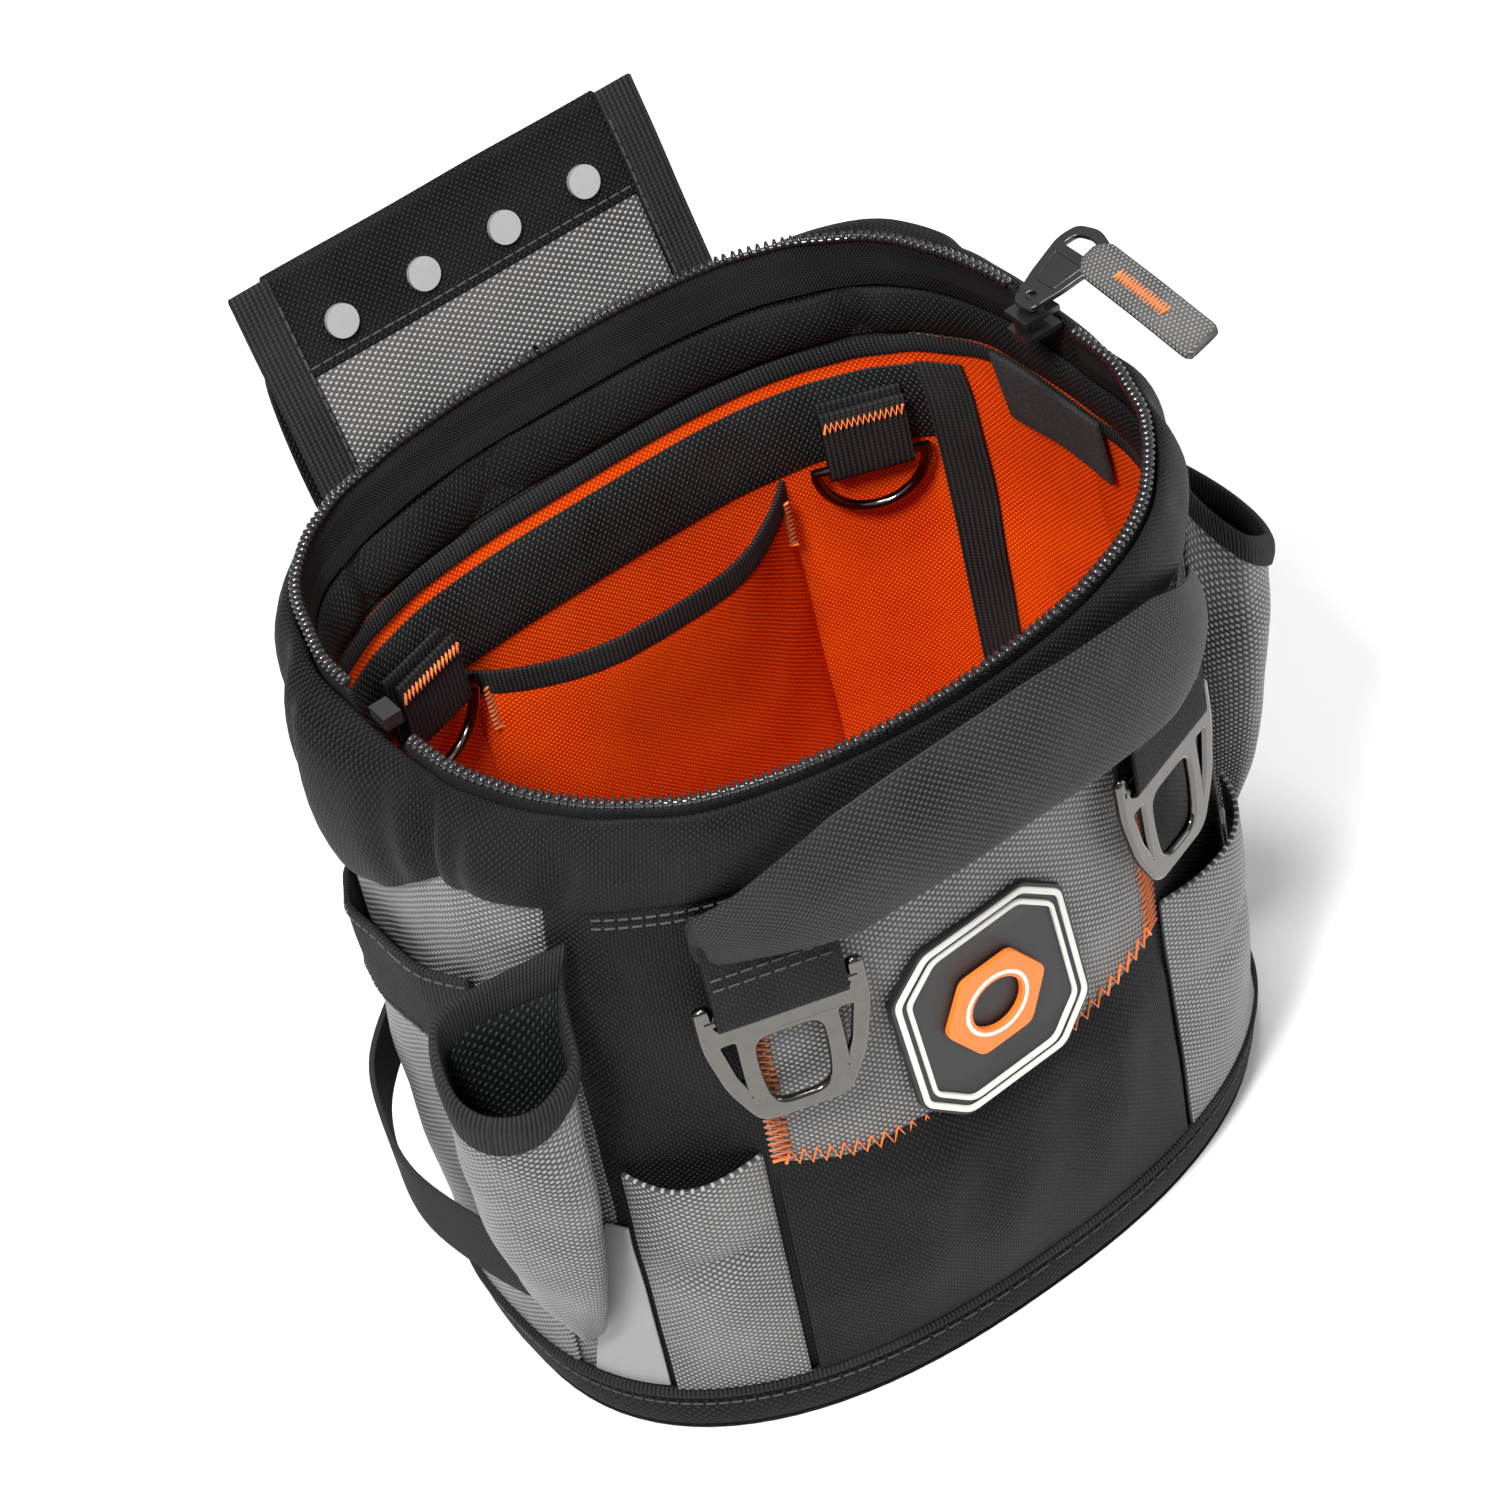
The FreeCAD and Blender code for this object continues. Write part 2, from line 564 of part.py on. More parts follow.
def v_ring(label, side):
    """A flat ring with one large window and two small ones, on a round bar."""
    body = doc.addObject("PartDesign::Body", label)
    outline = sketch_on(body, "XZ_Plane")
    half, foot, drop = size("ring_width") / 2, size("ring_foot_width") / 2, size("ring_drop")
    bar, wire, corner = size("ring_bar_radius"), size("ring_side"), size("ring_foot_corner")
    shoulder = -size("ring_tab_thickness")
    add_outline(outline, [(-half, bar), (-half + wire, bar), (-half + wire, shoulder + 1),
                          (half - wire, shoulder + 1), (half - wire, bar), (half, bar),
                          (half, shoulder), (foot, -drop + corner), (foot - corner, -drop),
                          (-foot + corner, -drop), (-foot, -drop + corner), (-half, shoulder)])
    eye = size("ring_eye")
    eye_y = (shoulder - drop) / 2
    outline.addGeometry(Part.Circle(Vector(0, eye_y, 0), Vector(0, 0, 1), eye))
    window_top = shoulder - wire
    for sign in (-1, 1):
        add_outline(outline, [(sign * (half - wire - 1), window_top), (sign * (eye + 1.5), window_top),
                              (sign * (eye + 2.6), eye_y + 2)])
    pad = body.newObject("PartDesign::Pad", "Plate")
    pad.Profile = outline
    bind(pad, Length="Sizes.ring_thickness")
    profile = sketch_on(body, "YZ_Plane")
    profile.AttachmentOffset = Placement(Vector(-size("ring_thickness") / 2, 0, -half), Rotation())
    profile.addGeometry(Part.Circle(Vector(0, 0, 0), Vector(0, 0, 1), bar))
    rod_pad = body.newObject("PartDesign::Pad", "Bar")
    rod_pad.Profile = profile
    bind(rod_pad, Length="Sizes.ring_width")
    body.Tip = rod_pad
    centred = Placement(Vector(0, size("ring_thickness") / 2, 0), Rotation())
    body.Placement = front_ring_frame(side).multiply(centred)
    keep(body, label)


def d_ring(label, frame):
    """A round-wire ring: half a circle hanging from a straight bar on the frame's X."""
    radius = size("inner_ring_radius")
    bow = doc.addObject("Part::Torus", "Bow")
    bind(bow, Radius1="Sizes.inner_ring_radius", Radius2="Sizes.inner_bar_radius")
    bow.Angle3 = 180
    hang = Placement(Vector(), Rotation(Vector(1, 0, 0), -90))
    bow.Placement = frame.multiply(hang)
    bar = rod("Sizes.inner_bar_radius", "2 * Sizes.inner_ring_radius", (0, 0, 0), (1, 0, 0), frame)
    corners = []
    for x in (-radius, radius):
        ball = doc.addObject("Part::Sphere", "Corner")
        bind(ball, Radius="Sizes.inner_bar_radius")
        ball.Placement = frame.multiply(Placement(Vector(x, 0, 0), Rotation()))
        corners.append(ball)
    keep(fuse([bow, bar] + corners), label)


def inner_ring_frame(angle):
    band_face = INNER_CLOTH - size("thin_cloth")
    offset = band_face - size("inner_tab_thickness") / 2 - size("inner_tab_stand_off")
    return wall_frame(size("inner_bar_height"), angle, offset, -1)


def rings():
    for side, name in ((-1, "left"), (1, "right")):
        ring_tab("ring_tab_" + name, "ring_tab", front_ring_frame(side), "Sizes.ring_bar_bore")
        v_ring("v_ring_" + name, side)
    for name in ("left", "right"):
        frame = inner_ring_frame(size(name + "_ring_angle"))
        ring_tab("inner_tab_" + name, "inner_tab", frame, "Sizes.inner_bar_bore")
        d_ring("inner_ring_" + name, frame)


# ---- handle ----

def handle_section(share):
    """One upright rectangle across the handle's strap, at a share of its span from the left."""
    bow = math.sin(math.pi * share)
    x = size("handle_left") + (size("handle_right") - size("handle_left")) * share
    reach = size("handle_end_reach") + (size("handle_reach") - size("handle_end_reach")) * bow
    spread = min(1.0, 1.6 * bow)
    narrow = size("handle_end_width")
    half = (narrow + (size("handle_width") - narrow) * spread) / 2
    z = size("handle_height") + size("handle_rise") * bow
    edge_depth = wall_point(size("handle_height"), front_angle(x)).y
    deep = edge_depth - reach
    thick = size("handle_thickness") / 2
    corners = [Vector(x, deep - thick, z - half), Vector(x, deep + thick, z - half),
               Vector(x, deep + thick, z + half), Vector(x, deep - thick, z + half)]
    return Part.makePolygon(corners + corners[:1])


def front_handle():
    shares = (0.0, 0.12, 0.3, 0.5, 0.7, 0.88, 1.0)
    cloth("front_handle", Part.makeLoft([handle_section(s) for s in shares], True, False))


# ---- front and side cloth ----

def front_panels():
    thick = size("pocket_cloth")
    left, right = front_angle(size("patch_left")), front_angle(size("patch_right"))
    cloth("front_patch_panel", flat_panel(size("patch_bottom"), size("patch_top"), left, right, GAP, thick))
    base, top, bulge = size("pocket_base"), size("pocket_top"), size("pocket_bulge")
    centre_top = size("patch_bottom") - GAP
    cloth("front_pocket_center", panel([
        (base, GAP, GAP + thick, 1.0), ((base + centre_top) / 2, GAP, GAP + thick, bulge - 2),
        (centre_top, GAP, GAP + thick, 1.0)],
        front_angle(size("left_pocket_end") + 2), front_angle(size("right_pocket_start") - 2)))
    for side in ("left", "right"):
        cloth("front_pocket_" + side, panel(
            [(base, GAP, GAP + thick, 1.5), (top, GAP, GAP + thick, bulge)],
            front_angle(size(side + "_pocket_start")), front_angle(size(side + "_pocket_end"))))


def emblem_outline():
    """A plain badge: an upright rectangle with its corners cut off."""
    left = size("emblem_centre") - size("emblem_width") / 2
    bottom = size("emblem_bottom")
    far_side = -2 * size("mouth_front_depth")
    corner = Vector(left, far_side, bottom)
    block = Part.makeBox(size("emblem_width"), -far_side, size("emblem_height"), corner)
    corners = [edge for edge in block.Edges if abs(edge.tangentAt(edge.FirstParameter).y) > 0.9]
    return block.makeChamfer(size("emblem_corner"), corners)


def emblem():
    inner = size("pocket_cloth") + 3 * GAP
    bottom, centre = size("emblem_bottom"), size("emblem_centre")
    reach = size("emblem_width") / 2 + 4
    sheet_solid = flat_panel(bottom - 2, bottom + size("emblem_height") + 2, front_angle(centre - reach),
                             front_angle(centre + reach), inner, size("emblem_thickness"))
    cloth("emblem_patch", sheet_solid.common(emblem_outline()))


def side_pocket(side):
    top = size("side_pocket_top") - GAP
    face = GAP + size("pocket_cloth")
    levels = [(size("pocket_base"), GAP, face, 0.0), (top, GAP, face, size("side_pocket_bulge"))]
    return panel(levels, size("side_pocket_start"), size(side + "_side_pocket_end"))


def side_binding(side):
    face = GAP + size("webbing_cloth")
    levels = [(z, GAP, face, size("side_pocket_bulge")) for z in
              (size("side_pocket_top"), size("side_webbing_top"))]
    return panel(levels, size("side_pocket_start"), size(side + "_side_pocket_end"))


def sleeve_wire(z, grow, angle):
    """One oval section of the sleeve, larger by grow all round."""
    share = (z - size("sleeve_base")) / (size("sleeve_mouth") - size("sleeve_base"))
    wide, deep = [size("sleeve_tip_" + half) * (1 - share) + size("sleeve_mouth_" + half) * share
                  for half in ("half_width", "half_depth")]
    normal = wall_normal(z, angle)
    centre = wall_point(z, angle, deep + size("sleeve_stand_off"))
    oval = Part.Ellipse(Vector(), wide + grow, deep + grow)
    wire = Part.Wire([oval.toShape()])
    turn = math.degrees(math.atan2(normal.y, normal.x)) + 90
    wire.Placement = Placement(centre, Rotation(Vector(0, 0, 1), turn))
    return wire


def sleeve_solid(bottom, top, grow, angle):
    return Part.makeLoft([sleeve_wire(bottom, grow, angle), sleeve_wire(top, grow, angle)], True, True)


def above_slant(drop, angle):
    """The space above the sleeve's slanted mouth, or above a line below it."""
    mouth = size("sleeve_mouth")
    normal = wall_normal(mouth, angle)
    centre = wall_point(mouth - drop, angle, size("sleeve_mouth_half_depth") + size("sleeve_stand_off"))
    room = size("sleeve_room")
    block = Part.makeBox(room, room, room, Vector(-room / 2, -room / 2, 0))
    across = Vector(-normal.y, normal.x, 0)
    block.Placement = Placement(centre, Rotation(across, size("sleeve_slant")))
    return block


def sleeve(side):
    angle = size(side + "_sleeve_angle")
    thick = size("pocket_cloth")
    top = size("sleeve_mouth") + size("sleeve_spare")
    outside = sleeve_solid(size("sleeve_base"), top, 0, angle)
    inside = sleeve_solid(size("sleeve_base") + thick, top + 2, -thick, angle)
    return outside.cut(inside).cut(above_slant(0, angle))


def sleeve_binding(side):
    angle = size(side + "_sleeve_angle")
    top = size("sleeve_mouth") + size("sleeve_spare")
    low = size("sleeve_mouth") - 2.5 * size("sleeve_spare")
    outside = sleeve_solid(low, top, GAP + size("binding_cloth"), angle)
    band = outside.cut(sleeve_solid(low - 1, top + 1, GAP, angle))
    return band.common(above_slant(size("sleeve_binding"), angle)).cut(above_slant(0, angle))


def corner_accent(side):
    base, top = size("pocket_base"), size("accent_top")
    start, end = size("accent_start"), size("accent_end")
    face = GAP + size("thin_cloth")
    wide = panel_wire((base, GAP, face, 0.0), start, end)
    narrow = panel_wire((top, GAP, face, 0.0), end - (end - start) / 3, end)
    return Part.makeLoft([wide, narrow], True, True)


def hammer_loop():
    """A webbing strap bowed out from the side, low in front and higher behind."""
    stand_off = size("loop_stand_off")
    low = wall_point(size("loop_low_height"), size("loop_low_angle"), stand_off)
    high = wall_point(size("loop_high_height"), size("loop_high_angle"), stand_off)
    along = (high - low).normalize()
    outward = wall_normal(low.z, (size("loop_low_angle") + size("loop_high_angle")) / 2)
    out = (outward - along * outward.dot(along)).normalize()
    across = along.cross(out)
    middle = (low + high) * 0.5
    thick, rise = size("loop_thickness"), size("loop_rise")
    inner = Part.Arc(low, middle + out * rise, high).toShape()
    low_out, high_out = low - along * thick, high + along * thick
    outer = Part.Arc(high_out, middle + out * (rise + thick), low_out).toShape()
    wire = Part.Wire([inner, Part.makeLine(high, high_out), outer, Part.makeLine(low_out, low)])
    solid = Part.Face(wire).extrude(across * size("loop_width"))
    solid.translate(across * (-size("loop_width") / 2))
    cloth("hammer_loop", solid)


# ---- inside ----

def inside_pieces():
    thin, bound, hooked = size("thin_cloth"), size("pocket_cloth"), size("hook_patch_thickness")
    face = INNER_CLOTH - thin
    band, band_top = size("band_angle"), size("band_top")
    cloth("organizer_band", flat_panel(size("band_bottom") + GAP, band_top, band, mirrored(band), face, thin))
    start, end = back_angle(size("phone_right")), back_angle(size("phone_left"))
    base, top = size("phone_base"), size("phone_top")
    low, high = -size("phone_base_bulge"), -size("phone_bulge")
    cloth("phone_pocket", panel(
        [(base, face, INNER_CLOTH, low), (top - GAP, face, INNER_CLOTH, high)], start, end))
    rim_levels = [(z, INNER_CLOTH - bound, INNER_CLOTH, high) for z in (top, top + size("phone_binding"))]
    cloth("phone_pocket_binding", panel(rim_levels, start, end))
    tape_edge = mirrored(band) + size("tape_gap_angle")
    left_and_right("seam_tape", lambda side: flat_panel(
        size("seam_tape_bottom"), band_top, tape_edge, mirrored(size("tape_start")), face, thin))
    patch = size("patch_start"), size("patch_end")
    cloth("corner_patch", flat_panel(
        size("hook_patch_bottom"), band_top, *patch, INNER_CLOTH - hooked, hooked))


base_pieces()
shell_panels()
collar_pieces()
zipper_slider()
pull_tab()
pull_loop()
end_stop()
flap_face()
flap_back_layer()
belt_rivets()
flap_anchor()
rings()
front_handle()
front_panels()
emblem()
left_and_right("side_pocket", side_pocket)
left_and_right("side_binding", side_binding)
left_and_right("sleeve", sleeve)
left_and_right("sleeve_binding", sleeve_binding)
left_and_right("corner_accent", corner_accent)
hammer_loop()
inside_pieces()
doc.recompute()

os.makedirs("parts", exist_ok=True)
for feature in doc.Objects:
    bad = [word for word in ("Invalid", "Error") if word in feature.State]
    if bad:
        raise RuntimeError("%s is %s" % (feature.Label, bad))
for feature in finished:
    shape = feature.Shape
    if shape.isNull() or not shape.isValid() or not shape.Solids:
        raise RuntimeError("%s has no valid solid" % feature.Label)
    shape.exportStep("parts/%s.step" % feature.Label)
print("sub-parts", len(finished))
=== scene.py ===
import bmesh
import bpy
import math
from mathutils import Matrix, Vector, noise


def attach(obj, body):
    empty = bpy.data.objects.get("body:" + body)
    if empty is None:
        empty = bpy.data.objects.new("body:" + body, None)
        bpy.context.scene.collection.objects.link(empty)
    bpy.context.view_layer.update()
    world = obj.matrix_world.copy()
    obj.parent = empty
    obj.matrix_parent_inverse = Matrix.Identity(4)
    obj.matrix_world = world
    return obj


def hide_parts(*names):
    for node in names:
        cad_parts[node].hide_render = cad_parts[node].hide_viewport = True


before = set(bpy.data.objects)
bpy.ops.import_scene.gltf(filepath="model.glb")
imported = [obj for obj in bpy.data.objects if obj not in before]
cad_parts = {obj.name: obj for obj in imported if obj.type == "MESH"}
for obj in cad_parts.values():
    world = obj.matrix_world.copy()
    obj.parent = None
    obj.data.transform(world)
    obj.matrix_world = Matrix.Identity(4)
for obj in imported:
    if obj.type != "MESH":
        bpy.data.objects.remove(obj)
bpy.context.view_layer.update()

MM = 0.001
UV_SCALE = 0.01

# The bag's wall, in millimetres: the same oval that the CAD model is built on.
SHOULDER, RIM = 185.0, 232.0
HALF_WIDTH = (115.0, 112.0, 106.5)
FRONT_DEPTH = (78.0, 86.0, 97.0)
BACK_DEPTH = (74.0, 77.0, 93.0)
FRONT_POWER, BACK_POWER = 2.35, 2.95
GAP = 0.3
SHELL = 2.6
LINING_OUT = -SHELL - GAP
LINING_IN = LINING_OUT - 0.8
INNER = LINING_IN - GAP
SEWN_ON = GAP + 1.4     # the outer face of a cloth sewn to the outside of the wall
SEAM = 200.0
COLLAR_TOP = 230.0


# ---- the wall ----

def blend_stations(z, stations):
    low, middle, high = stations
    if z <= SHOULDER:
        return low + (middle - low) * z / SHOULDER
    return middle + (high - middle) * (z - SHOULDER) / (RIM - SHOULDER)


def at_height(z, stations):
    """A wall measure at a height, eased over the bend at the shoulder."""
    reach = 9.0
    return (blend_stations(z - reach, stations) + 2 * blend_stations(z, stations)
            + blend_stations(z + reach, stations)) / 4


def signed_power(value, power):
    return math.copysign(abs(value) ** power, value)


def wall_measures(z, angle):
    """Half width, depth and roundness of the oval at a height, on the front's or the back's side."""
    back = math.sin(math.radians(angle)) > 0
    depth = at_height(z, BACK_DEPTH if back else FRONT_DEPTH)
    return at_height(z, HALF_WIDTH), depth, BACK_POWER if back else FRONT_POWER


def wall_normal(z, angle):
    wide, deep, power = wall_measures(z, angle)
    turn = math.radians(angle)
    share = 2 * (power - 1) / power
    return Vector((signed_power(math.cos(turn), share) / wide,
                   signed_power(math.sin(turn), share) / deep, 0)).normalized()


def slack(z, angle):
    """How far the cloth wall stands in or out of its plain oval: soft folds that die out at the base."""
    turn = math.radians(angle)
    spot = Vector((math.cos(turn) * 2.2, math.sin(turn) * 2.2, z / 60.0))
    free = min(1.0, max(0.0, (z - 14.0) / 60.0))
    side = 0.6 + 0.9 * abs(math.cos(turn)) ** 2
    return free * side * (1.5 * noise.noise(spot) + 0.7 * noise.noise(spot * 2.7))


def wall(z, angle, offset=0.0):
    """A point on the bag's cloth wall, in millimetres."""
    wide, deep, power = wall_measures(z, angle)
    turn = math.radians(angle)
    point = Vector((wide * signed_power(math.cos(turn), 2 / power),
                    deep * signed_power(math.sin(turn), 2 / power), z))
    return point + wall_normal(z, angle) * (offset + slack(z, angle))


def front_angle(x):
    """The wall's angle at a place across the front."""
    share = signed_power(x / HALF_WIDTH[1], FRONT_POWER / 2)
    return 360 - math.degrees(math.acos(share))


def back_angle(x):
    share = signed_power(x / HALF_WIDTH[1], BACK_POWER / 2)
    return math.degrees(math.acos(share))


def wall_frame(z, angle, offset, facing=1):
    """A matrix on the wall whose -Y points out of the bag (1) or into it (-1)."""
    normal = wall_normal(z, angle) * facing
    turn = math.atan2(normal.x, -normal.y)
    plain = wall(z, angle, offset - slack(z, angle))
    return Matrix.Translation(plain) @ Matrix.Rotation(turn, 4, "Z")


# ---- node materials ----

class Shader:
    """A material whose nodes are added by short calls."""

    def __init__(self, name, roughness, metallic=0.0, sheen=0.0, coat=0.0, specular=0.5):
        self.material = bpy.data.materials.new(name)
        self.material.use_nodes = True
        self.tree = self.material.node_tree
        self.bsdf = self.tree.nodes["Principled BSDF"]
        self.bsdf.inputs["Roughness"].default_value = roughness
        self.bsdf.inputs["Metallic"].default_value = metallic
        self.bsdf.inputs["Sheen Weight"].default_value = sheen
        self.bsdf.inputs["Coat Weight"].default_value = coat
        self.bsdf.inputs["Specular IOR Level"].default_value = specular

    def node(self, kind, **settings):
        node = self.tree.nodes.new(kind)
        for key, value in settings.items():
            setattr(node, key, value)
        return node

    def feed(self, socket, value):
        if hasattr(value, "is_output"):
            self.tree.links.new(value, socket)
        else:
            socket.default_value = value

    def math(self, operation, *values):
        node = self.node("ShaderNodeMath", operation=operation)
        for socket, value in zip(node.inputs, values):
            self.feed(socket, value)
        return node.outputs[0]

    def mix(self, factor, first, second):
        """A mix of two colours."""
        node = self.node("ShaderNodeMix", data_type="RGBA")
        for socket, value in ((node.inputs[0], factor), (node.inputs[6], first), (node.inputs[7], second)):
            plain = hasattr(value, "is_output") or isinstance(value, float)
            self.feed(socket, value if plain else (*value, 1.0))
        return node.outputs[2]

    def ramp(self, value, low, high):
        """value stretched so that low becomes 0 and high becomes 1, held at both ends."""
        node = self.node("ShaderNodeMapRange")
        for socket, number in zip(node.inputs, (value, low, high)):
            self.feed(socket, number)
        return node.outputs[0]

    def cloth_axes(self):
        """The cloth's own two directions, in millimetres."""
        split = self.node("ShaderNodeSeparateXYZ")
        self.tree.links.new(self.node("ShaderNodeUVMap", uv_map="cloth").outputs[0], split.inputs[0])
        return tuple(self.math("DIVIDE", split.outputs[i], UV_SCALE) for i in (0, 1))

    def noise(self, scale, detail=3.0):
        """Noise over the object's own place, scale per metre."""
        node = self.node("ShaderNodeTexNoise")
        self.tree.links.new(self.node("ShaderNodeTexCoord").outputs["Object"], node.inputs["Vector"])
        node.inputs["Scale"].default_value = scale
        node.inputs["Detail"].default_value = detail
        return node.outputs[0]

    def bump(self, height, depth_mm):
        node = self.node("ShaderNodeBump")
        node.inputs["Distance"].default_value = depth_mm * MM
        node.inputs["Strength"].default_value = 1.0
        self.tree.links.new(height, node.inputs["Height"])
        self.tree.links.new(node.outputs[0], self.bsdf.inputs["Normal"])

    def colour(self, value):
        self.feed(self.bsdf.inputs["Base Color"], value)

    def wave(self, value):
        """1 in the middle of each thread and 0 at its edges; threads are one unit apart."""
        return self.math("ABSOLUTE", self.math("SINE", self.math("MULTIPLY", value, math.pi)))


def woven(name, over, under, gap, pitch, rough, relief, specular=0.12, blotch=0.25):
    """A plain weave: over threads run along the cloth, under threads across it."""
    shader = Shader(name, rough, specular=specular)
    along, across = shader.cloth_axes()
    u = shader.math("DIVIDE", along, pitch[0])
    v = shader.math("DIVIDE", across, pitch[1])
    cell = shader.math("ADD", shader.math("FLOOR", u), shader.math("FLOOR", v))
    turn = shader.math("PINGPONG", cell, 1.0)
    wave_u, wave_v = shader.wave(u), shader.wave(v)
    over_height = shader.math("MULTIPLY", wave_v, shader.math("MULTIPLY_ADD", wave_u, 0.6, 0.4))
    under_height = shader.math("MULTIPLY", wave_u, shader.math("MULTIPLY_ADD", wave_v, 0.6, 0.4))
    pick = shader.node("ShaderNodeMix", data_type="FLOAT")
    for socket, value in zip(pick.inputs, (turn, over_height, under_height)):
        shader.feed(socket, value)
    height = pick.outputs[0]
    threads = shader.mix(turn, over, under)
    body = shader.mix(shader.ramp(height, 0.08, 0.62), gap, threads)
    shade = shader.ramp(shader.noise(34.0, 4.0), 0.3, 0.75)
    dust = tuple(min(1.0, c * 1.6) for c in over)
    shader.colour(shader.mix(shader.math("MULTIPLY", shade, blotch), body, dust))
    shader.bump(height, relief)
    return shader.material


def ribbed(name, colour, gap, pitch, relief=0.35, herringbone=0.0):
    """Webbing and binding: cords side by side, or a herringbone tape where its columns have a width."""
    shader = Shader(name, 0.75, specular=0.12)
    along, across = shader.cloth_axes()
    line = shader.math("DIVIDE", along, pitch)
    if herringbone:
        column = shader.math("PINGPONG", across, herringbone)
        line = shader.math("ADD", line, shader.math("DIVIDE", column, pitch))
    rib = shader.wave(line)
    cross = shader.wave(shader.math("DIVIDE", across, pitch * 0.72))
    height = shader.math("MULTIPLY", rib, shader.math("MULTIPLY_ADD", cross, 0.35, 0.65))
    body = shader.mix(shader.ramp(height, 0.1, 0.8), gap, colour)
    fade = shader.math("MULTIPLY", shader.ramp(shader.noise(40.0), 0.35, 0.7), 0.35)
    shader.colour(shader.mix(fade, body, tuple(c * 1.6 for c in colour)))
    shader.bump(height, relief)
    return shader.material


def metal(name, colour, rough, scratches=0.25, metallic=1.0, coat=0.0):
    """Metal with faint darker, rougher marks."""
    shader = Shader(name, rough, metallic=metallic, coat=coat)
    marks = shader.ramp(shader.noise(260.0, 6.0), 0.45, 0.75)
    worn = shader.mix(shader.math("MULTIPLY", marks, scratches), colour, tuple(c * 0.55 for c in colour))
    shader.colour(worn)
    shader.feed(shader.bsdf.inputs["Roughness"], shader.math("MULTIPLY_ADD", marks, 0.1, rough))
    shader.bump(shader.noise(2500.0, 2.0), 0.003)
    return shader.material


def smooth(name, colour, rough, grain=600.0, relief=0.05, coat=0.0):
    """Rubber, coated cloth or plastic with a fine grain."""
    shader = Shader(name, rough, coat=coat, specular=0.4)
    speck = shader.noise(grain, 4.0)
    cloud = shader.math("MULTIPLY", shader.ramp(shader.noise(30.0), 0.35, 0.7), 0.3)
    shader.colour(shader.mix(cloud, colour, tuple(min(1.0, c * 1.25 + 0.005) for c in colour)))
    shader.bump(speck, relief)
    return shader.material


def thread_material(name, colour):
    shader = Shader(name, 0.55, sheen=0.3)
    twist = shader.noise(1500.0, 2.0)
    shader.colour(shader.mix(shader.ramp(twist, 0.3, 0.7), tuple(c * 0.7 for c in colour), colour))
    shader.bump(twist, 0.1)
    return shader.material


# Between the threads hardly any light comes back.
BLACK_GAP = (0.001, 0.001, 0.001)
GREY_GAP = (0.015, 0.015, 0.015)

black_cloth = woven("black_polyester", (0.018, 0.018, 0.0185), (0.0045, 0.0045, 0.005), BLACK_GAP,
                    (0.95, 0.95), 0.6, 0.6, 0.12)
# The handle's cloth is the black cloth with lighter threads: a painted highlight that stands in for the soft
# light along the strap.
handle_highlight_cloth = woven("black_handle_highlight_cloth", (0.042, 0.041, 0.041), (0.014, 0.014, 0.014), (0.002, 0.002, 0.002),
                    (0.95, 0.95), 0.55, 0.5, 0.2)
grey_cloth = woven("grey_ballistic", (0.295, 0.287, 0.282), (0.085, 0.082, 0.08), GREY_GAP,
                   (1.3, 0.9), 0.45, 0.45, 0.35, 0.15)
orange_cloth = woven("orange_oxford", (1.0, 0.10, 0.003), (0.80, 0.055, 0.002), (0.36, 0.012, 0.001),
                     (0.8, 0.8), 0.7, 0.2, 0.05, 0.2)
mesh_band = woven("black_mesh_band", (0.030, 0.034, 0.034), (0.007, 0.008, 0.008), BLACK_GAP,
                  (0.9, 1.2), 0.45, 0.5, 0.25)
base_cloth = woven("base_cloth", (0.014, 0.014, 0.0145), (0.006, 0.006, 0.006), BLACK_GAP,
                   (1.3, 1.3), 0.7, 0.4)
grey_tape = woven("grey_webbing", (0.235, 0.23, 0.225), (0.09, 0.088, 0.086), GREY_GAP,
                  (1.1, 0.75), 0.6, 0.6)
webbing = ribbed("black_webbing", (0.020, 0.020, 0.0205), BLACK_GAP, 1.5)
binding = ribbed("black_binding", (0.021, 0.021, 0.0215), BLACK_GAP, 1.2, relief=0.5)
zipper_cloth = ribbed("zipper_tape", (0.013, 0.013, 0.0135), (0.002, 0.002, 0.002), 1.0, herringbone=5.0)
nickel = metal("dark_nickel", (0.125, 0.118, 0.108), 0.12)
satin_steel = metal("satin_steel", (0.66, 0.66, 0.655), 0.28, 0.15, metallic=0.7)
black_metal = metal("black_metal", (0.014, 0.014, 0.015), 0.3, 0.3, metallic=0.3, coat=0.4)
tooth_plastic = smooth("tooth_plastic", (0.012, 0.012, 0.013), 0.2, 800.0, 0.02, 0.6)
accent_vinyl = smooth("accent_vinyl", (0.23, 0.226, 0.228), 0.42, 500.0, 0.1)
badge_black = smooth("badge_black", (0.010, 0.010, 0.0105), 0.5)
badge_light = smooth("badge_light", (0.62, 0.61, 0.57), 0.5)
badge_orange = smooth("badge_orange", (0.86, 0.17, 0.02), 0.5)
orange_thread = thread_material("orange_thread", (1.0, 0.20, 0.012))
black_thread = thread_material("black_thread", (0.028, 0.028, 0.03))


# ---- pieces ----

def piece(name, mesh, body, material, nodes=(), slot=None):
    """A finished piece: its object, its CAD body, and the CAD nodes it stands for."""
    obj = bpy.data.objects.new(name, mesh)
    bpy.context.scene.collection.objects.link(obj)
    if not mesh.materials:
        mesh.materials.append(material)
    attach(obj, body)
    if nodes:
        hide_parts(*nodes)
    return obj


def running_lengths(points):
    """The distance from the first point to each of the points, along them."""
    total, result = 0.0, [0.0]
    for a, b in zip(points, points[1:]):
        total += (b - a).length
        result.append(total)
    return result


def on_path(path, share):
    """The point a share of the way along a path, counted in its steps."""
    place = share * (len(path) - 1)
    i = min(int(place), len(path) - 2)
    part = place - i
    return tuple(a * (1 - part) + b * part for a, b in zip(path[i], path[i + 1]))


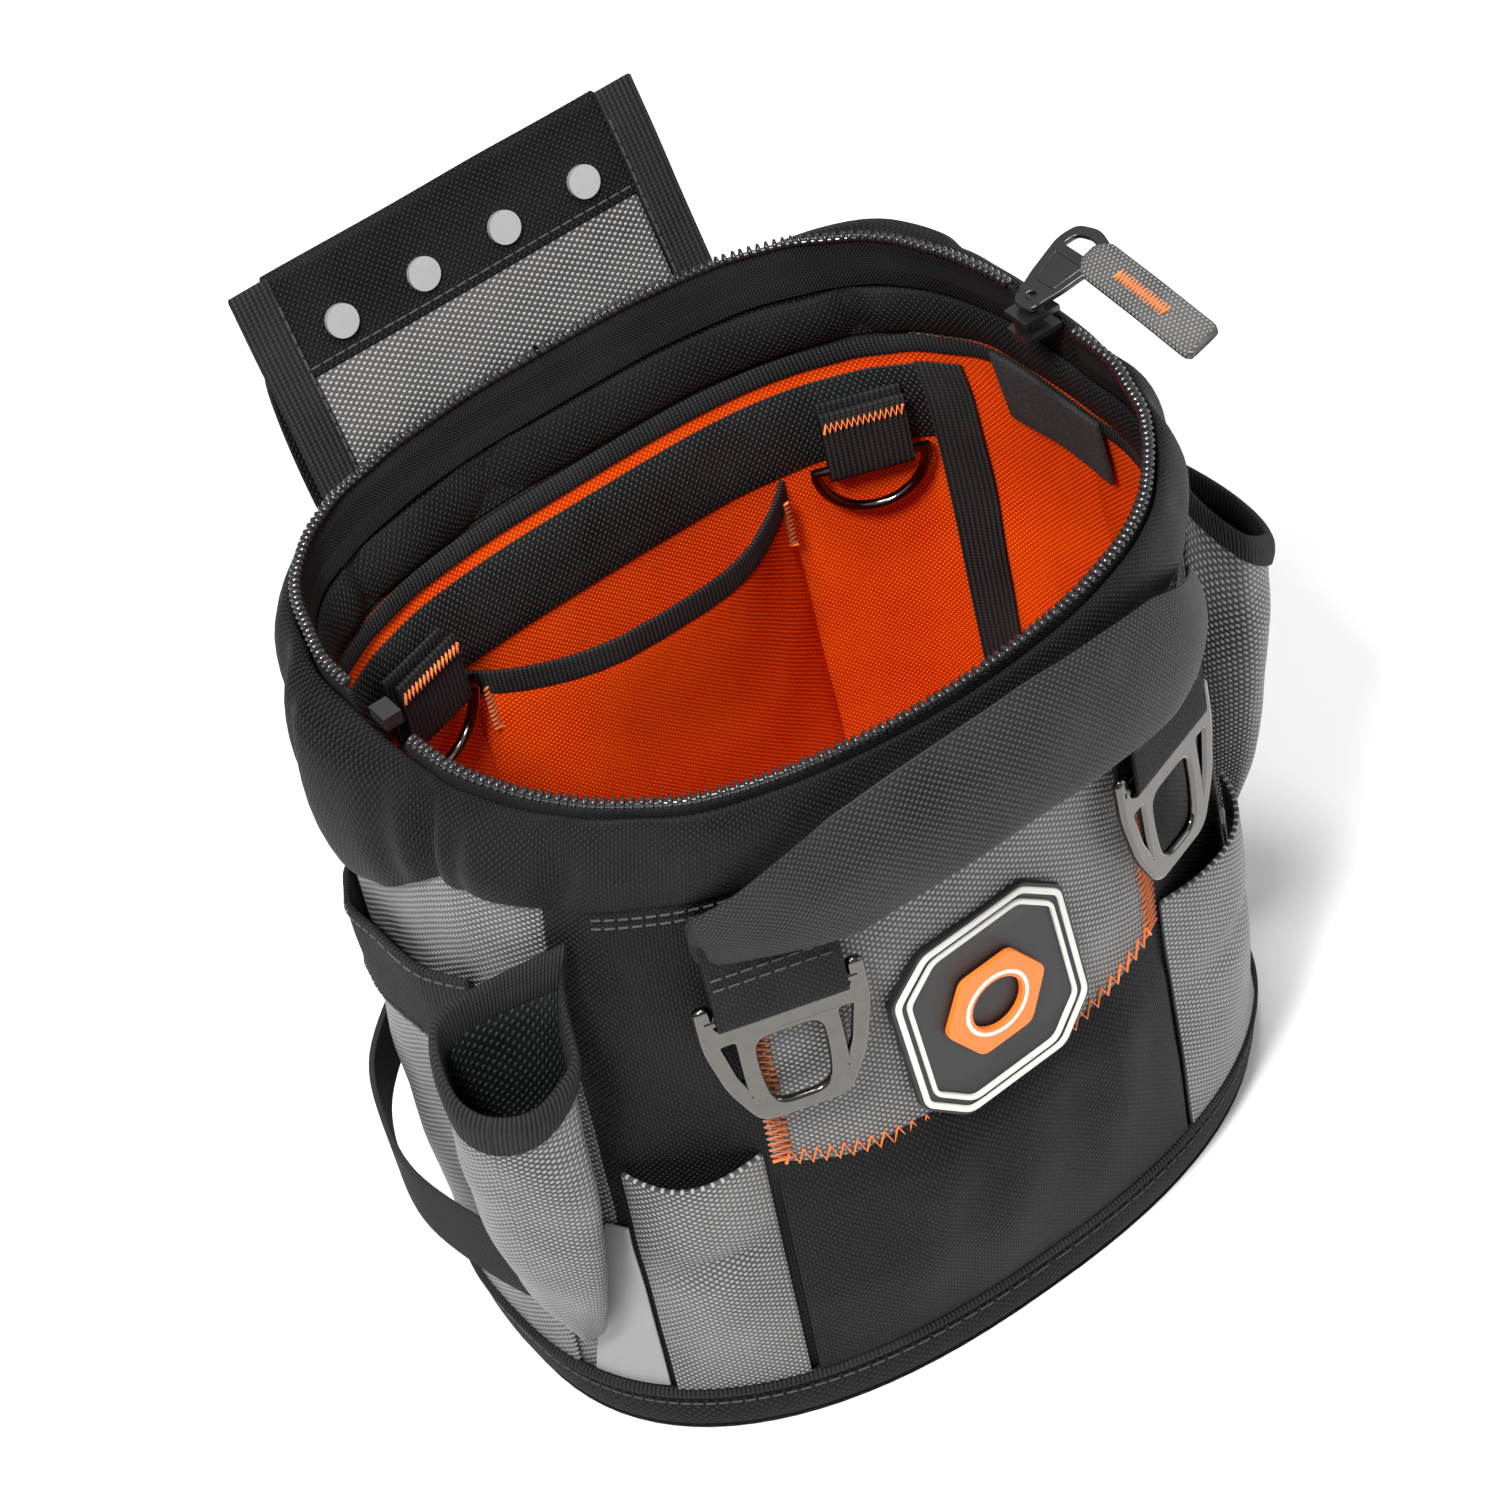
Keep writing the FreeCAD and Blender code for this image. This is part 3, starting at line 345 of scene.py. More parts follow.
def grid_mesh(name, point, columns, rows, closed=False):
    """A cloth surface from point(across, up), both 0 to 1, with its own cloth directions as UVs."""
    count = columns if closed else columns + 1
    rings = [[point(i / columns, j / rows) for i in range(count)] for j in range(rows + 1)]
    mesh = bpy.data.meshes.new(name)
    faces = []
    for j in range(rows):
        for i in range(columns):
            k = (i + 1) % count
            faces.append((j * count + i, j * count + k, (j + 1) * count + k, (j + 1) * count + i))
    mesh.from_pydata([p * MM for ring in rings for p in ring], [], faces)
    middle = rings[rows // 2]
    widths = running_lengths(middle + middle[:1] if closed else middle)
    heights = running_lengths([ring[0] for ring in rings])
    layer = mesh.uv_layers.new(name="cloth")
    for polygon, (j, i) in zip(mesh.polygons, ((j, i) for j in range(rows) for i in range(columns))):
        corners = ((i, j), (i + 1, j), (i + 1, j + 1), (i, j + 1))
        for loop, (a, b) in zip(polygon.loop_indices, corners):
            layer.data[loop].uv = (widths[a] * UV_SCALE, heights[b] * UV_SCALE)
    mesh.shade_smooth()
    return mesh


def thicken(obj, thickness, round_edge=True, both=False):
    """Gives a cloth surface its thickness, inward or both ways, and rounds its cut edge."""
    solid = obj.modifiers.new("Thickness", "SOLIDIFY")
    solid.thickness = thickness * MM
    solid.offset = 0.0 if both else -1.0
    solid.use_rim = True
    if round_edge:
        bevel = obj.modifiers.new("Edge", "BEVEL")
        bevel.width = min(0.45, thickness * 0.3) * MM
        bevel.segments = 2
        bevel.limit_method = "ANGLE"
        bevel.angle_limit = math.radians(50)
    return obj


def wall_piece(name, low, high, start, end, offset, thickness, material, nodes=(), slot=None,
               bulge=None, step=2.5):
    """A cloth panel on the wall; offset is its outer face, and bulge(across, up) adds to it."""
    def point(s, t):
        swell = bulge(s, t) if bulge else 0.0
        return wall(low + (high - low) * t, start + (end - start) * s, offset + swell)
    columns = max(6, int(abs(end - start) / step))
    rows = max(3, int((high - low) / 5))
    mesh = grid_mesh(name, point, columns, rows)
    return thicken(piece(name, mesh, "bag", material, nodes, slot), thickness)


def mirrored(start, end):
    return 180 - end, 180 - start


def ring_piece(name, profile, material, nodes=(), slot=None, columns=120, fold=None):
    """A closed band round the wall, from a closed profile of (z, offset) points."""
    loop = profile + profile[:1]

    def point(s, t):
        z, offset = on_path(loop, t)
        angle = s * 360
        lift, drop = fold(angle, z, offset) if fold else (0.0, 0.0)
        return wall(z, angle, offset + lift) + Vector((0, 0, drop))
    mesh = grid_mesh(name, point, columns, len(loop) - 1, closed=True)
    return subdivide(piece(name, mesh, "bag", material, nodes, slot))


def subdivide(obj):
    modifier = obj.modifiers.new("Smooth", "SUBSURF")
    modifier.levels = 1
    modifier.render_levels = 1
    return obj


def half_sine(value):
    return math.sin(math.pi * value)


# ---- base and shell ----

def flat_floor(name, z, offset, rows):
    """A flat sheet across the bag at a height, from its middle out to the wall."""
    mesh = grid_mesh(name, lambda s, t: wall(z, s * 360, offset) * max(t, 0.001), 72, rows, closed=True)
    for vertex in mesh.vertices:
        vertex.co.z = z * MM
    return mesh


def base_pieces():
    def base_floor(s, t):
        return wall(0.0, s * 360, -0.3) * max(t, 0.001) + Vector((0, 0, 0.15))
    mesh = grid_mesh("base_cloth_panel", base_floor, 96, 10, closed=True)
    mesh.flip_normals()
    obj = piece("base_cloth_panel", mesh, "bag", base_cloth, ("base_panel",), "base_cloth")
    solid = obj.modifiers.new("Thickness", "SOLIDIFY")
    solid.thickness = 2.2 * MM
    solid.offset = -1.0
    boot = [(0.6, -2.2), (0.3, -0.8), (2.0, 0.5), (8.0, 1.6), (14.6, 1.7), (15.0, 0.4), (8.0, 0.3)]
    ring_piece("boot", boot, base_cloth, ("boot_band",), "base_cloth")
    radius = 1.8
    cord = [(17.0 + radius * math.cos(a), 1.7 + radius * math.sin(a)) for a in
            (i * math.tau / 8 for i in range(8))]
    ring_piece("piping", cord, binding, ("base_piping",), "base_cloth")
    board = flat_floor("board", 4.2, LINING_OUT - GAP, 4)
    obj = piece("board", board, "bag", smooth("board_plastic", (0.06, 0.06, 0.06), 0.6),
                ("base_stiffener",), "board")
    thicken(obj, 2.0, round_edge=False, both=True)


def shell_panels():
    low, high = 3, SEAM + 1
    left = (144.2, 209.6)

    def front_slack(s, t):
        return 1.2 * half_sine(s) * half_sine(t)

    wall_piece("front_shell", low, high, 209.8, 330.2, 0, SHELL, black_cloth, ("front_panel",),
               "black_fabric", front_slack)
    wall_piece("back_shell", low, high, 36, 144, 0, SHELL, black_cloth, ("back_panel",), "black_fabric")
    for name, angles in (("left", left), ("right", mirrored(*left))):
        wall_piece("side_shell_" + name, low, high, *angles, 0, SHELL, grey_cloth,
                   ("side_panel_" + name,), "grey_nylon")


def lining_pieces():
    wall_piece("lining_wall", 6, SEAM + 1, 0, 360, LINING_OUT, 0.8, orange_cloth, ("lining",),
               "orange_lining", lambda s, t: -0.5 * half_sine(t), step=3)

    mesh = flat_floor("lining_floor", 7.0, LINING_IN, 8)
    obj = piece("lining_floor", mesh, "bag", orange_cloth, slot="orange_lining")
    thicken(obj, 0.8, round_edge=False)


# ---- collar and mouth ----

def hump(angle, centre, width):
    """A smooth rise round the wall, 1 at its centre."""
    away = (angle - centre + 180) % 360 - 180
    return math.exp(-(away / width) ** 2)


# Angle, width and depth of each crease pressed into the collar.
COLLAR_CREASES = ((190, 2.4, 8.0), (197, 1.8, 3.0), (183, 2.0, 3.0), (213, 2.4, 4.0), (226, 4, 2.6),
                  (157, 4, 3.4), (168, 2, 2.4), (337, 4, 3.0), (351, 3, 2.8), (20, 3, 2.8), (62, 3, 2.6),
                  (262, 9, 1.4), (300, 8, 1.2))
PLEATS = (45, 96, 122, 150, 210, 300)


def collar_fold(angle, z, offset):
    """Folds of the padded collar, and the corner where it slumps over the left side."""
    if offset < -1.0:
        return 0.0, 0.0
    height = min(1.0, max(0.0, (z - SEAM) / (COLLAR_TOP - SEAM)))
    middle = half_sine(0.08 + 0.84 * height)
    turn = math.radians(angle)
    spot = Vector((math.cos(turn) * 3.0, math.sin(turn) * 3.0, z / 26.0))
    lift = 1.6 * noise.noise(spot) + 0.8 * noise.noise(spot * 2.3)
    lift -= sum(depth * hump(angle, centre, width) for centre, width, depth in COLLAR_CREASES)
    lift += 4.0 * hump(angle, 200, 9) + 3.0 * hump(angle, 150, 14) + 6.0 * hump(angle, 38, 26)
    lobe = hump(angle, 174, 12)
    flare = 11.0 * hump(angle, 37, 20) * height ** 1.5
    droop = -(23.0 * lobe + 4.0 * hump(angle, 152, 12)) * (1 - height) ** 1.2
    return middle * lift + lobe * (5.0 + 4.0 * middle) + flare, droop


def mouth_pieces():
    collar = ring_piece("collar_pad", [
        (SEAM - 1.0, -1.6), (SEAM - 0.6, 0.9), (SEAM + 2.5, 2.6), (SEAM + 8, 4.0), (SEAM + 15, 4.2),
        (SEAM + 22, 3.0), (SEAM + 27, 1.2), (COLLAR_TOP, -1.2), (COLLAR_TOP - 0.6, -2.6),
        (SEAM + 15, -2.6)], black_cloth, ("collar",), "black_fabric", 300, collar_fold)
    tape_low = COLLAR_TOP - 13.0
    for side, start, end in (("rear", 4, 176), ("front", 184, 356)):
        wall_piece("tape_" + side, tape_low, COLLAR_TOP + 1.4, start, end, LINING_OUT + 0.1, 1.2,
                   zipper_cloth, ("zipper_tape_" + side,), "black_webbing")

    def pleat(angle, z, offset):
        turn = math.radians(angle)
        spot = Vector((math.cos(turn) * 4.0, math.sin(turn) * 4.0, z / 20.0))
        inside = 1.0 if offset < LINING_OUT - 1.0 else 0.0
        dent = sum(3.4 * hump(angle, centre, 2.4) for centre in PLEATS)
        return inside * (1.4 * noise.noise(spot) + dent), 0.0
    top = tape_low - GAP
    low = top - 14.0
    ring_piece("stay_channel", [
        (low, LINING_OUT - 0.2), (top, LINING_OUT - 0.2), (top + 0.2, LINING_OUT - 1.6),
        (top - 3, LINING_OUT - 3.2), (low + 7, LINING_OUT - 4.2), (low + 3, LINING_OUT - 3.4),
        (low, LINING_OUT - 1.8)],
        black_cloth, ("collar_facing",), "black_fabric", 150, pleat)
    ring_piece("lining_edge", [
        (low - 6.0, INNER), (low - GAP, INNER), (low - GAP, INNER - 1.2), (low - 3.0, INNER - 1.6),
        (low - 6.0, INNER - 1.2)], binding, ("lining_binding",), "black_webbing", 150)


def mouth_point(angle, height=2.4):
    """A point in the middle of the zipper's teeth, a little above the collar."""
    return wall(COLLAR_TOP + height, angle, LINING_OUT - 1.2)


def even_angles(start, end, spacing):
    """Angles at even distances along the zipper."""
    steps = 600
    fine = [start + (end - start) * i / steps for i in range(steps + 1)]
    lengths = running_lengths([wall(COLLAR_TOP, a, LINING_OUT) for a in fine])
    count = int(lengths[-1] / spacing)
    result, k = [], 0
    for i in range(count + 1):
        target = lengths[-1] * i / count
        while k < steps - 1 and lengths[k + 1] < target:
            k += 1
        result.append(fine[k])
    return result


def blob(verts, faces, centre, axes, sides=8):
    """Adds a rounded bead with three half axes."""
    first = len(verts)
    for ring_height, ring_size in ((-0.8, 0.6), (0.0, 1.0), (0.8, 0.6)):
        for i in range(sides):
            a = math.tau * i / sides
            verts.append((centre + axes[0] * math.cos(a) * ring_size + axes[1] * math.sin(a) * ring_size
                          + axes[2] * ring_height) * MM)
    for level in range(2):
        for i in range(sides):
            k = (i + 1) % sides
            a = first + level * sides
            faces.append((a + i, a + k, a + sides + k, a + sides + i))
    faces.append(tuple(first + i for i in reversed(range(sides))))
    faces.append(tuple(first + 2 * sides + i for i in range(sides)))


def bead_mesh(name, beads):
    verts, faces = [], []
    for centre, axes in beads:
        blob(verts, faces, centre, axes)
    mesh = bpy.data.meshes.new(name)
    mesh.from_pydata(verts, [], faces)
    mesh.uv_layers.new(name="cloth")
    mesh.shade_smooth()
    return mesh


def zipper_teeth():
    """Two rows of separate beads, each on a cord."""
    for side, start, end in (("rear", 5, 175), ("front", 185, 355)):
        beads = []
        for angle in even_angles(start, end, 2.3):
            centre = mouth_point(angle)
            normal = wall_normal(COLLAR_TOP, angle)
            along = Vector((-normal.y, normal.x, 0))
            up = Vector((0, 0, 1))
            beads.append((centre, (normal * 1.8, along * 0.8, up * 1.55)))
        mesh = bead_mesh("teeth_" + side, beads)
        piece("teeth_" + side, mesh, "bag", tooth_plastic, ("zipper_teeth_" + side,), "zipper_plastic")
        core = [mouth_point(start + (end - start) * i / 120, 1.7) for i in range(121)]
        tube_object("teeth_core_" + side, [core], 0.9, "bag", tooth_plastic, slot="zipper_plastic")


# ---- flat plates with holes ----

def rounded(corners, radius, steps=4):
    """The corners of a polygon replaced by short curves."""
    result = []
    count = len(corners)
    for i, corner in enumerate(corners):
        here = Vector(corner)
        before, after = Vector(corners[i - 1]), Vector(corners[(i + 1) % count])
        reach = min(radius, (before - here).length * 0.45, (after - here).length * 0.45)
        a = here + (before - here).normalized() * reach
        b = here + (after - here).normalized() * reach
        for k in range(steps + 1):
            t = k / steps
            result.append(a * (1 - t) ** 2 + here * 2 * t * (1 - t) + b * t ** 2)
    return result


def oval(centre, wide, high, count=28):
    return [Vector((centre[0] + wide * math.cos(a), centre[1] + high * math.sin(a)))
            for a in (math.tau * i / count for i in range(count))]


def plate_mesh(name, outlines, thickness, edge, matrix):
    """A flat plate with rounded edges; the first outline is its rim and the rest are holes."""
    curve = bpy.data.curves.new(name, "CURVE")
    curve.dimensions = "2D"
    curve.fill_mode = "BOTH"
    curve.extrude = thickness / 2 - edge
    curve.bevel_depth = edge
    curve.bevel_resolution = 2
    for outline in outlines:
        spline = curve.splines.new("POLY")
        spline.points.add(len(outline) - 1)
        for target, point in zip(spline.points, outline):
            target.co = (point.x, point.y, 0, 1)
        spline.use_cyclic_u = True
    holder = bpy.data.objects.new(name + "_curve", curve)
    mesh = bpy.data.meshes.new_from_object(holder)
    bpy.data.objects.remove(holder)
    mesh.transform(Matrix.Scale(MM, 4) @ matrix)
    if "cloth" not in mesh.uv_layers:
        mesh.uv_layers.new(name="cloth")
    mesh.shade_smooth()
    return mesh


UPRIGHT = Matrix.Rotation(math.radians(90), 4, "X")


def tube_object(name, runs, radius, body, material, nodes=(), slot=None, closed=False, resolution=2):
    """Round cord or thread along several runs of points, as one mesh."""
    curve = bpy.data.curves.new(name, "CURVE")
    curve.dimensions = "3D"
    curve.bevel_depth = radius
    curve.bevel_resolution = resolution
    curve.use_fill_caps = True
    for run in runs:
        spline = curve.splines.new("POLY")
        spline.points.add(len(run) - 1)
        for target, point in zip(spline.points, run):
            target.co = (*point, 1)
        spline.use_cyclic_u = closed
    holder = bpy.data.objects.new(name + "_curve", curve)
    mesh = bpy.data.meshes.new_from_object(holder)
    bpy.data.objects.remove(holder)
    mesh.transform(Matrix.Scale(MM, 4))
    if "cloth" not in mesh.uv_layers:
        mesh.uv_layers.new(name="cloth")
    mesh.shade_smooth()
    return piece(name, mesh, body, material, nodes, slot)


# ---- rings and tabs ----

def bar_frame(side):
    """The front ring's bar, from the wall as the CAD model places it."""
    return wall_frame(164.0, front_angle(side * 57.5), SEWN_ON + GAP + 2.8 + 1.6)


def webbing_tab(name, matrix, width, top, radius, node, material):
    """Webbing that comes down, turns round a bar and goes back up behind it."""
    path = [(-radius, top), (-radius - 0.2, top * 0.5), (-radius, 0.0)]
    path += [(-radius * math.cos(a), -radius * math.sin(a)) for a in
             (math.pi * i / 8 for i in range(1, 8))]
    path += [(radius, 0.0), (radius, top * 0.5), (radius - 0.4, top)]

    def point(s, t):
        y, z = on_path(path, t)
        return matrix @ Vector(((s - 0.5) * width, y, z))
    mesh = grid_mesh(name, point, 8, 3 * (len(path) - 1))
    thicken(piece(name, mesh, "bag", material, (node,), "black_webbing"), 1.3, both=True)


def v_ring(name, side):
    """A flat ring with two ears that hold its bar, a wide window and a slot on each side of it."""
    matrix = bar_frame(side)
    half, foot, drop, wire, shoulder, ear = 20.6, 11.0, 37.5, 2.7, -5.6, 4.2
    inner = half - wire
    rim = rounded([(-half, ear), (-inner, ear), (-inner, shoulder + 1.6), (inner, shoulder + 1.6),
                   (inner, ear), (half, ear), (half, shoulder - 3), (half - 3.4, -drop + 13),
                   (foot, -drop), (-foot, -drop), (-half + 3.4, -drop + 13), (-half, shoulder - 3)], 4.0, 6)
    window = rounded([(-9.6, -9.0), (9.6, -9.0), (9.9, -21), (8.4, -34.4), (-8.4, -34.4), (-9.9, -21)],
                     6.4, 6)
    holes = [window]
    for sign in (-1, 1):
        corners = [(sign * 18.1, -8.0), (sign * 12.3, -8.0), (sign * 12.4, -20.0), (sign * 12.2, -29.5),
                   (sign * 15.6, -21.0)]
        holes.append(rounded(corners, 1.8))
    plate = plate_mesh("ring_front_" + name, [rim] + holes, 2.6, 1.1, matrix @ UPRIGHT)
    node = "v_ring_" + name
    piece("ring_front_" + name, plate, node, nickel, (node,), "nickel")
    run = [matrix @ Vector((x, 0, 0)) for x in (-half + 1.2, 0, half - 1.2)]
    tube_object("ring_front_" + name + "_bar", [run], 1.7, node, nickel, slot="nickel", resolution=4)


def d_ring(name, matrix):
    """A D-shaped ring, its straight side through the tab."""
    radius = 15.5
    arc = [matrix @ Vector((radius * math.cos(a), 0, -radius * math.sin(a)))
           for a in (math.pi * i / 24 for i in range(25))]
    node = "inner_ring_" + name
    tube_object("d_ring_" + name, [arc], 1.55, node, nickel, (node,), "nickel", closed=True, resolution=4)


def ring_set():
    for side, name in ((-1, "left"), (1, "right")):
        webbing_tab("front_tab_" + name, bar_frame(side), 33.5, 27.0, 2.9, "ring_tab_" + name, black_cloth)
        for i, z in enumerate((13.0, 16.5)):
            row = [bar_frame(side) @ Vector((x, -3.8, z)) for x in (-15.5, 15.5)]
            stitch_line("front_tab_stitch_%s_%d" % (name, i), lambda t, row=row: row[0].lerp(row[1], t))
        v_ring(name, side)
    for name, angle in (("left", 119.0), ("right", 53.0)):
        matrix = wall_frame(168.0, angle, INNER - 0.8 - 0.4 - 2.6 - 2.2, -1)
        webbing_tab("rear_tab_" + name, matrix, 23.5, 21.0, 2.6, "inner_tab_" + name, webbing)
        d_ring(name, matrix)
        ends = [matrix @ Vector((x, -3.9, 17.0)) for x in (-11, 11)]
        bartack("rear_tab_stitch_" + name, ends, 3.0, matrix.to_3x3() @ Vector((0, 0, 1)))


# ---- stitching ----

def bartack(name, ends, width, across, body="bag", pitch=0.75):
    """A dense orange zigzag between two points."""
    start, end = ends
    count = int((end - start).length / pitch)
    run = []
    for i in range(count + 1):
        side = 0.5 if i % 2 else -0.5
        run.append(start.lerp(end, i / count) + across * width * side)
    return tube_object(name, [run], 0.45, body, orange_thread, resolution=1)


def zigzag(name, path, width, pitch):
    """A zigzag that follows path(share), which returns a point and a sideways direction."""
    steps = 200
    length = running_lengths([path(i / steps)[0] for i in range(steps + 1)])[-1]
    count = int(length / pitch)
    run = []
    for i in range(count + 1):
        point, across = path(i / count)
        run.append(point + across * width * (0.5 if i % 2 else -0.5))
    return tube_object(name, [run], 0.45, "bag", orange_thread, resolution=1)


def stitch_line(name, path, body="bag", length=2.6):
    """Separate stitches along path(share), a point just above the cloth."""
    gap = 1.1
    total = running_lengths([path(i / 100) for i in range(101)])[-1]
    count = max(1, int(total / (length + gap)))
    runs = []
    for i in range(count):
        a, b = i / count, (i + length / (length + gap)) / count
        runs.append([path(a), path((a + b) / 2), path(b)])
    return tube_object(name, runs, 0.28, body, black_thread, resolution=1)


# ---- front ----

PATCH_LEFT, PATCH_RIGHT, PATCH_LOW, PATCH_TOP = -66.0, 52.0, 90.0, 196.0


def patch_bulge(s, t):
    return 1.0 * half_sine(s) * half_sine(t * 0.8)


def patch_bottom(s):
    """The patch's lower edge dips in the middle and rises at both corners."""
    return PATCH_LOW + 12.0 * (2 * s - 1) ** 2


def patch_point(s, t, lift=0.0):
    angle = front_angle(PATCH_LEFT) + (front_angle(PATCH_RIGHT) - front_angle(PATCH_LEFT)) * s
    low = patch_bottom(s)
    return wall(low + (PATCH_TOP - low) * t, angle, SEWN_ON + patch_bulge(s, t) + lift)


def front_pieces():
    mesh = grid_mesh("front_patch", patch_point, 44, 24)
    thicken(piece("front_patch", mesh, "bag", grey_cloth, ("front_patch_panel",), "grey_nylon"), 1.3)
    for name, s in (("left", 0.025), ("right", 0.975)):
        def side_path(share, s=s):
            across = patch_point(min(1, s + 0.01), 0.5) - patch_point(max(0, s - 0.01), 0.5)
            return patch_point(s, 0.01 + 0.72 * share, 0.3), across.normalized()
        zigzag("patch_stitch_" + name, side_path, 5.5, 1.15)

    def bottom_path(share):
        return patch_point(0.03 + 0.94 * share, 0.025, 0.3), Vector((0, 0, 1))
    zigzag("patch_stitch_bottom", bottom_path, 5.0, 2.1)

    def gathered(s, t):
        folds = 2.2 * math.sin(s * 15 + 3.0 * t) + 1.4 * math.sin(s * 29 - 4.0 * t)
        creases = 1.5 * noise.noise(Vector((s * 5, t * 3, 7)))
        return 1.0 + (6.0 + folds * (0.4 + t) + creases) * half_sine(s) * half_sine(t)

    def tucked(s, t):
        """The gathered cloth, drawn flat under the patch over its top quarter."""
        under = max(0.0, t - 0.75) * 4
        return gathered(s, t) * (1 - under) - 1.4 * under
    wall_piece("front_pocket_black", 19, PATCH_LOW + 13, front_angle(PATCH_LEFT), front_angle(PATCH_RIGHT),
               GAP + 1.2, 1.2, black_cloth, ("front_pocket_center",), "black_fabric", tucked)
    for name, left, right in (("left", -96.0, -68.0), ("right", 54.0, 96.0)):
        def slack_pocket(s, t):
            crease = 2.4 * math.exp(-((t - 0.58 - 0.1 * s) / 0.05) ** 2)
            return 0.8 + half_sine(s) * (7.0 * t ** 1.5 + 3.0 * half_sine(t) - crease)
        wall_piece("pocket_" + name, 19, 107, front_angle(left), front_angle(right), SEWN_ON, 1.4,
                   grey_cloth, ("front_pocket_" + name,), "grey_nylon", slack_pocket, step=1.6)


def badge():
    """A plain rubber badge: a light border and an orange hexagon nut, with no words."""
    inner_face = SEWN_ON + GAP + 0.4
    matrix = wall_frame(125.5, front_angle(-5.0), inner_face + 2.6)
    matrix = matrix @ Matrix.Rotation(math.radians(-4), 4, "Y")
    wide, high = 27.0, 30.5

    def octagon(shrink):
        w, h = wide - shrink, high - shrink
        c = 11.0 - shrink * 0.4
        return rounded([(-w, h - c), (-w, -h + c), (-w + c, -h), (w - c, -h),
                        (w, -h + c), (w, h - c), (w - c, h), (-w + c, h)], 2.0, 3)

    def bend(mesh):
        """Bends the flat badge round the front of the bag."""
        back = matrix.inverted()
        for vertex in mesh.vertices:
            local = back @ (vertex.co / MM)
            local.y += local.x ** 2 / 420.0
            vertex.co = (matrix @ local) * MM
        return mesh

    def layer(name, outlines, depth, raise_by, material):
        lifted = matrix @ Matrix.Translation((0, -raise_by, 0)) @ UPRIGHT
        return bend(plate_mesh(name, outlines, depth, 0.22, lifted)), material
    parts = [layer("badge_plate", [octagon(0)], 2.4, 0.0, badge_black),
             layer("badge_rim", [octagon(0.9), octagon(2.0)], 1.6, 0.9, badge_light),
             layer("badge_inner_rim", [octagon(4.0), octagon(4.7)], 1.4, 0.9, badge_light)]
    nut = [Vector((math.cos(a), math.sin(a))) for a in (math.tau * i / 6 for i in range(6))]
    parts.append(layer("badge_nut", [rounded([tuple(p * 15.5) for p in nut], 2.0), oval((0, 0), 8.0, 8.0)],
                       1.8, 1.0, badge_orange))
    parts.append(layer("badge_thread", [oval((0, 0), 9.6, 9.6), oval((0, 0), 8.9, 8.9)],
                       1.4, 1.4, badge_light))
    for i, (mesh, material) in enumerate(parts):
        nodes = ("emblem_patch",) if i == 0 else ()
        piece(mesh.name, mesh, "bag", material, nodes, "badge_rubber")


def handle():
    """A folded cloth strap that lies along the collar, bunched where it is sewn down."""
    left, right, height, rise = -77.0, 88.0, 189.0, 27.0

    def point(s, t):
        share = 0.004 + 0.992 * s
        bow = half_sine(share)
        x = left + (right - left) * share
        full = min(1.0, 1.7 * bow)
        half = (7.0 + 11.0 * full) * (1 + 0.04 * noise.noise(Vector((s * 6, 0, 1))))
        reach = 5.0 + 18.0 * bow ** 0.55
        deep = (wall(height, front_angle(x)).y - reach)
        z = height + rise * bow ** 0.9
        turn = math.tau * t
        thick = 3.4 - 1.5 * full
        lean = 0.16 * bow
        up = half * math.cos(turn)
        out = thick * math.sin(turn) + 0.5 * noise.noise(Vector((s * 9, up / 9, 4)))
        out -= 1.6 * (up / half) ** 2
        return Vector((x, deep - out + up * lean, z + up * (1 - 0.5 * lean ** 2)))

    mesh = grid_mesh("handle_strap", lambda s, t: point(t, s), 28, 60, closed=True)
    # The strap uses the lighter copy of the black cloth, a painted highlight.
    obj = piece("handle_strap", mesh, "front_handle", handle_highlight_cloth, ("front_handle",), "black_fabric")
    close_ends(mesh, 28)
    subdivide(obj)


# ---- sides ----

SIDE_POCKET = {"left": (150.0, 193.0), "right": mirrored(150.0, 177.5)}
SLEEVE_ANGLE = {"left": 205.0, "right": 190.0}


def side_pieces():
    for name, angles in SIDE_POCKET.items():
        wall_piece("side_pocket_cloth_" + name, 19, 133, *angles, SEWN_ON, 1.3, grey_cloth,
                   ("side_pocket_" + name,), "grey_nylon", lambda s, t: 2.4 * half_sine(s) * t)
        side_band(name, angles)
    for name, sign in (("left", -1), ("right", 1)):
        sleeve(name, sign, SLEEVE_ANGLE[name])
        accent(name, sign)


def side_band(name, angles):
    """The webbing across the side pocket's mouth; the left one slopes down toward the back."""
    def point(s, t):
        slope = 6.0 * s - 9.0 * (1 - s) if name == "left" else 0.0
        return wall(132.0 + 28.5 * t + slope, angles[0] + (angles[1] - angles[0]) * s,
                    GAP + 2.6 + 2.5 * half_sine(s))
    mesh = grid_mesh("side_band_" + name, point, 18, 6)
    obj = piece("side_band_" + name, mesh, "bag", webbing, ("side_binding_" + name,), "black_webbing")
    thicken(obj, 1.6)
    for i, t in enumerate((0.08, 0.92)):
        def row(s, t=t):
            return point(s, t) + wall_normal(140, angles[0] + (angles[1] - angles[0]) * s) * 0.2
        stitch_line("side_band_stitch_%s_%d" % (name, i), row)


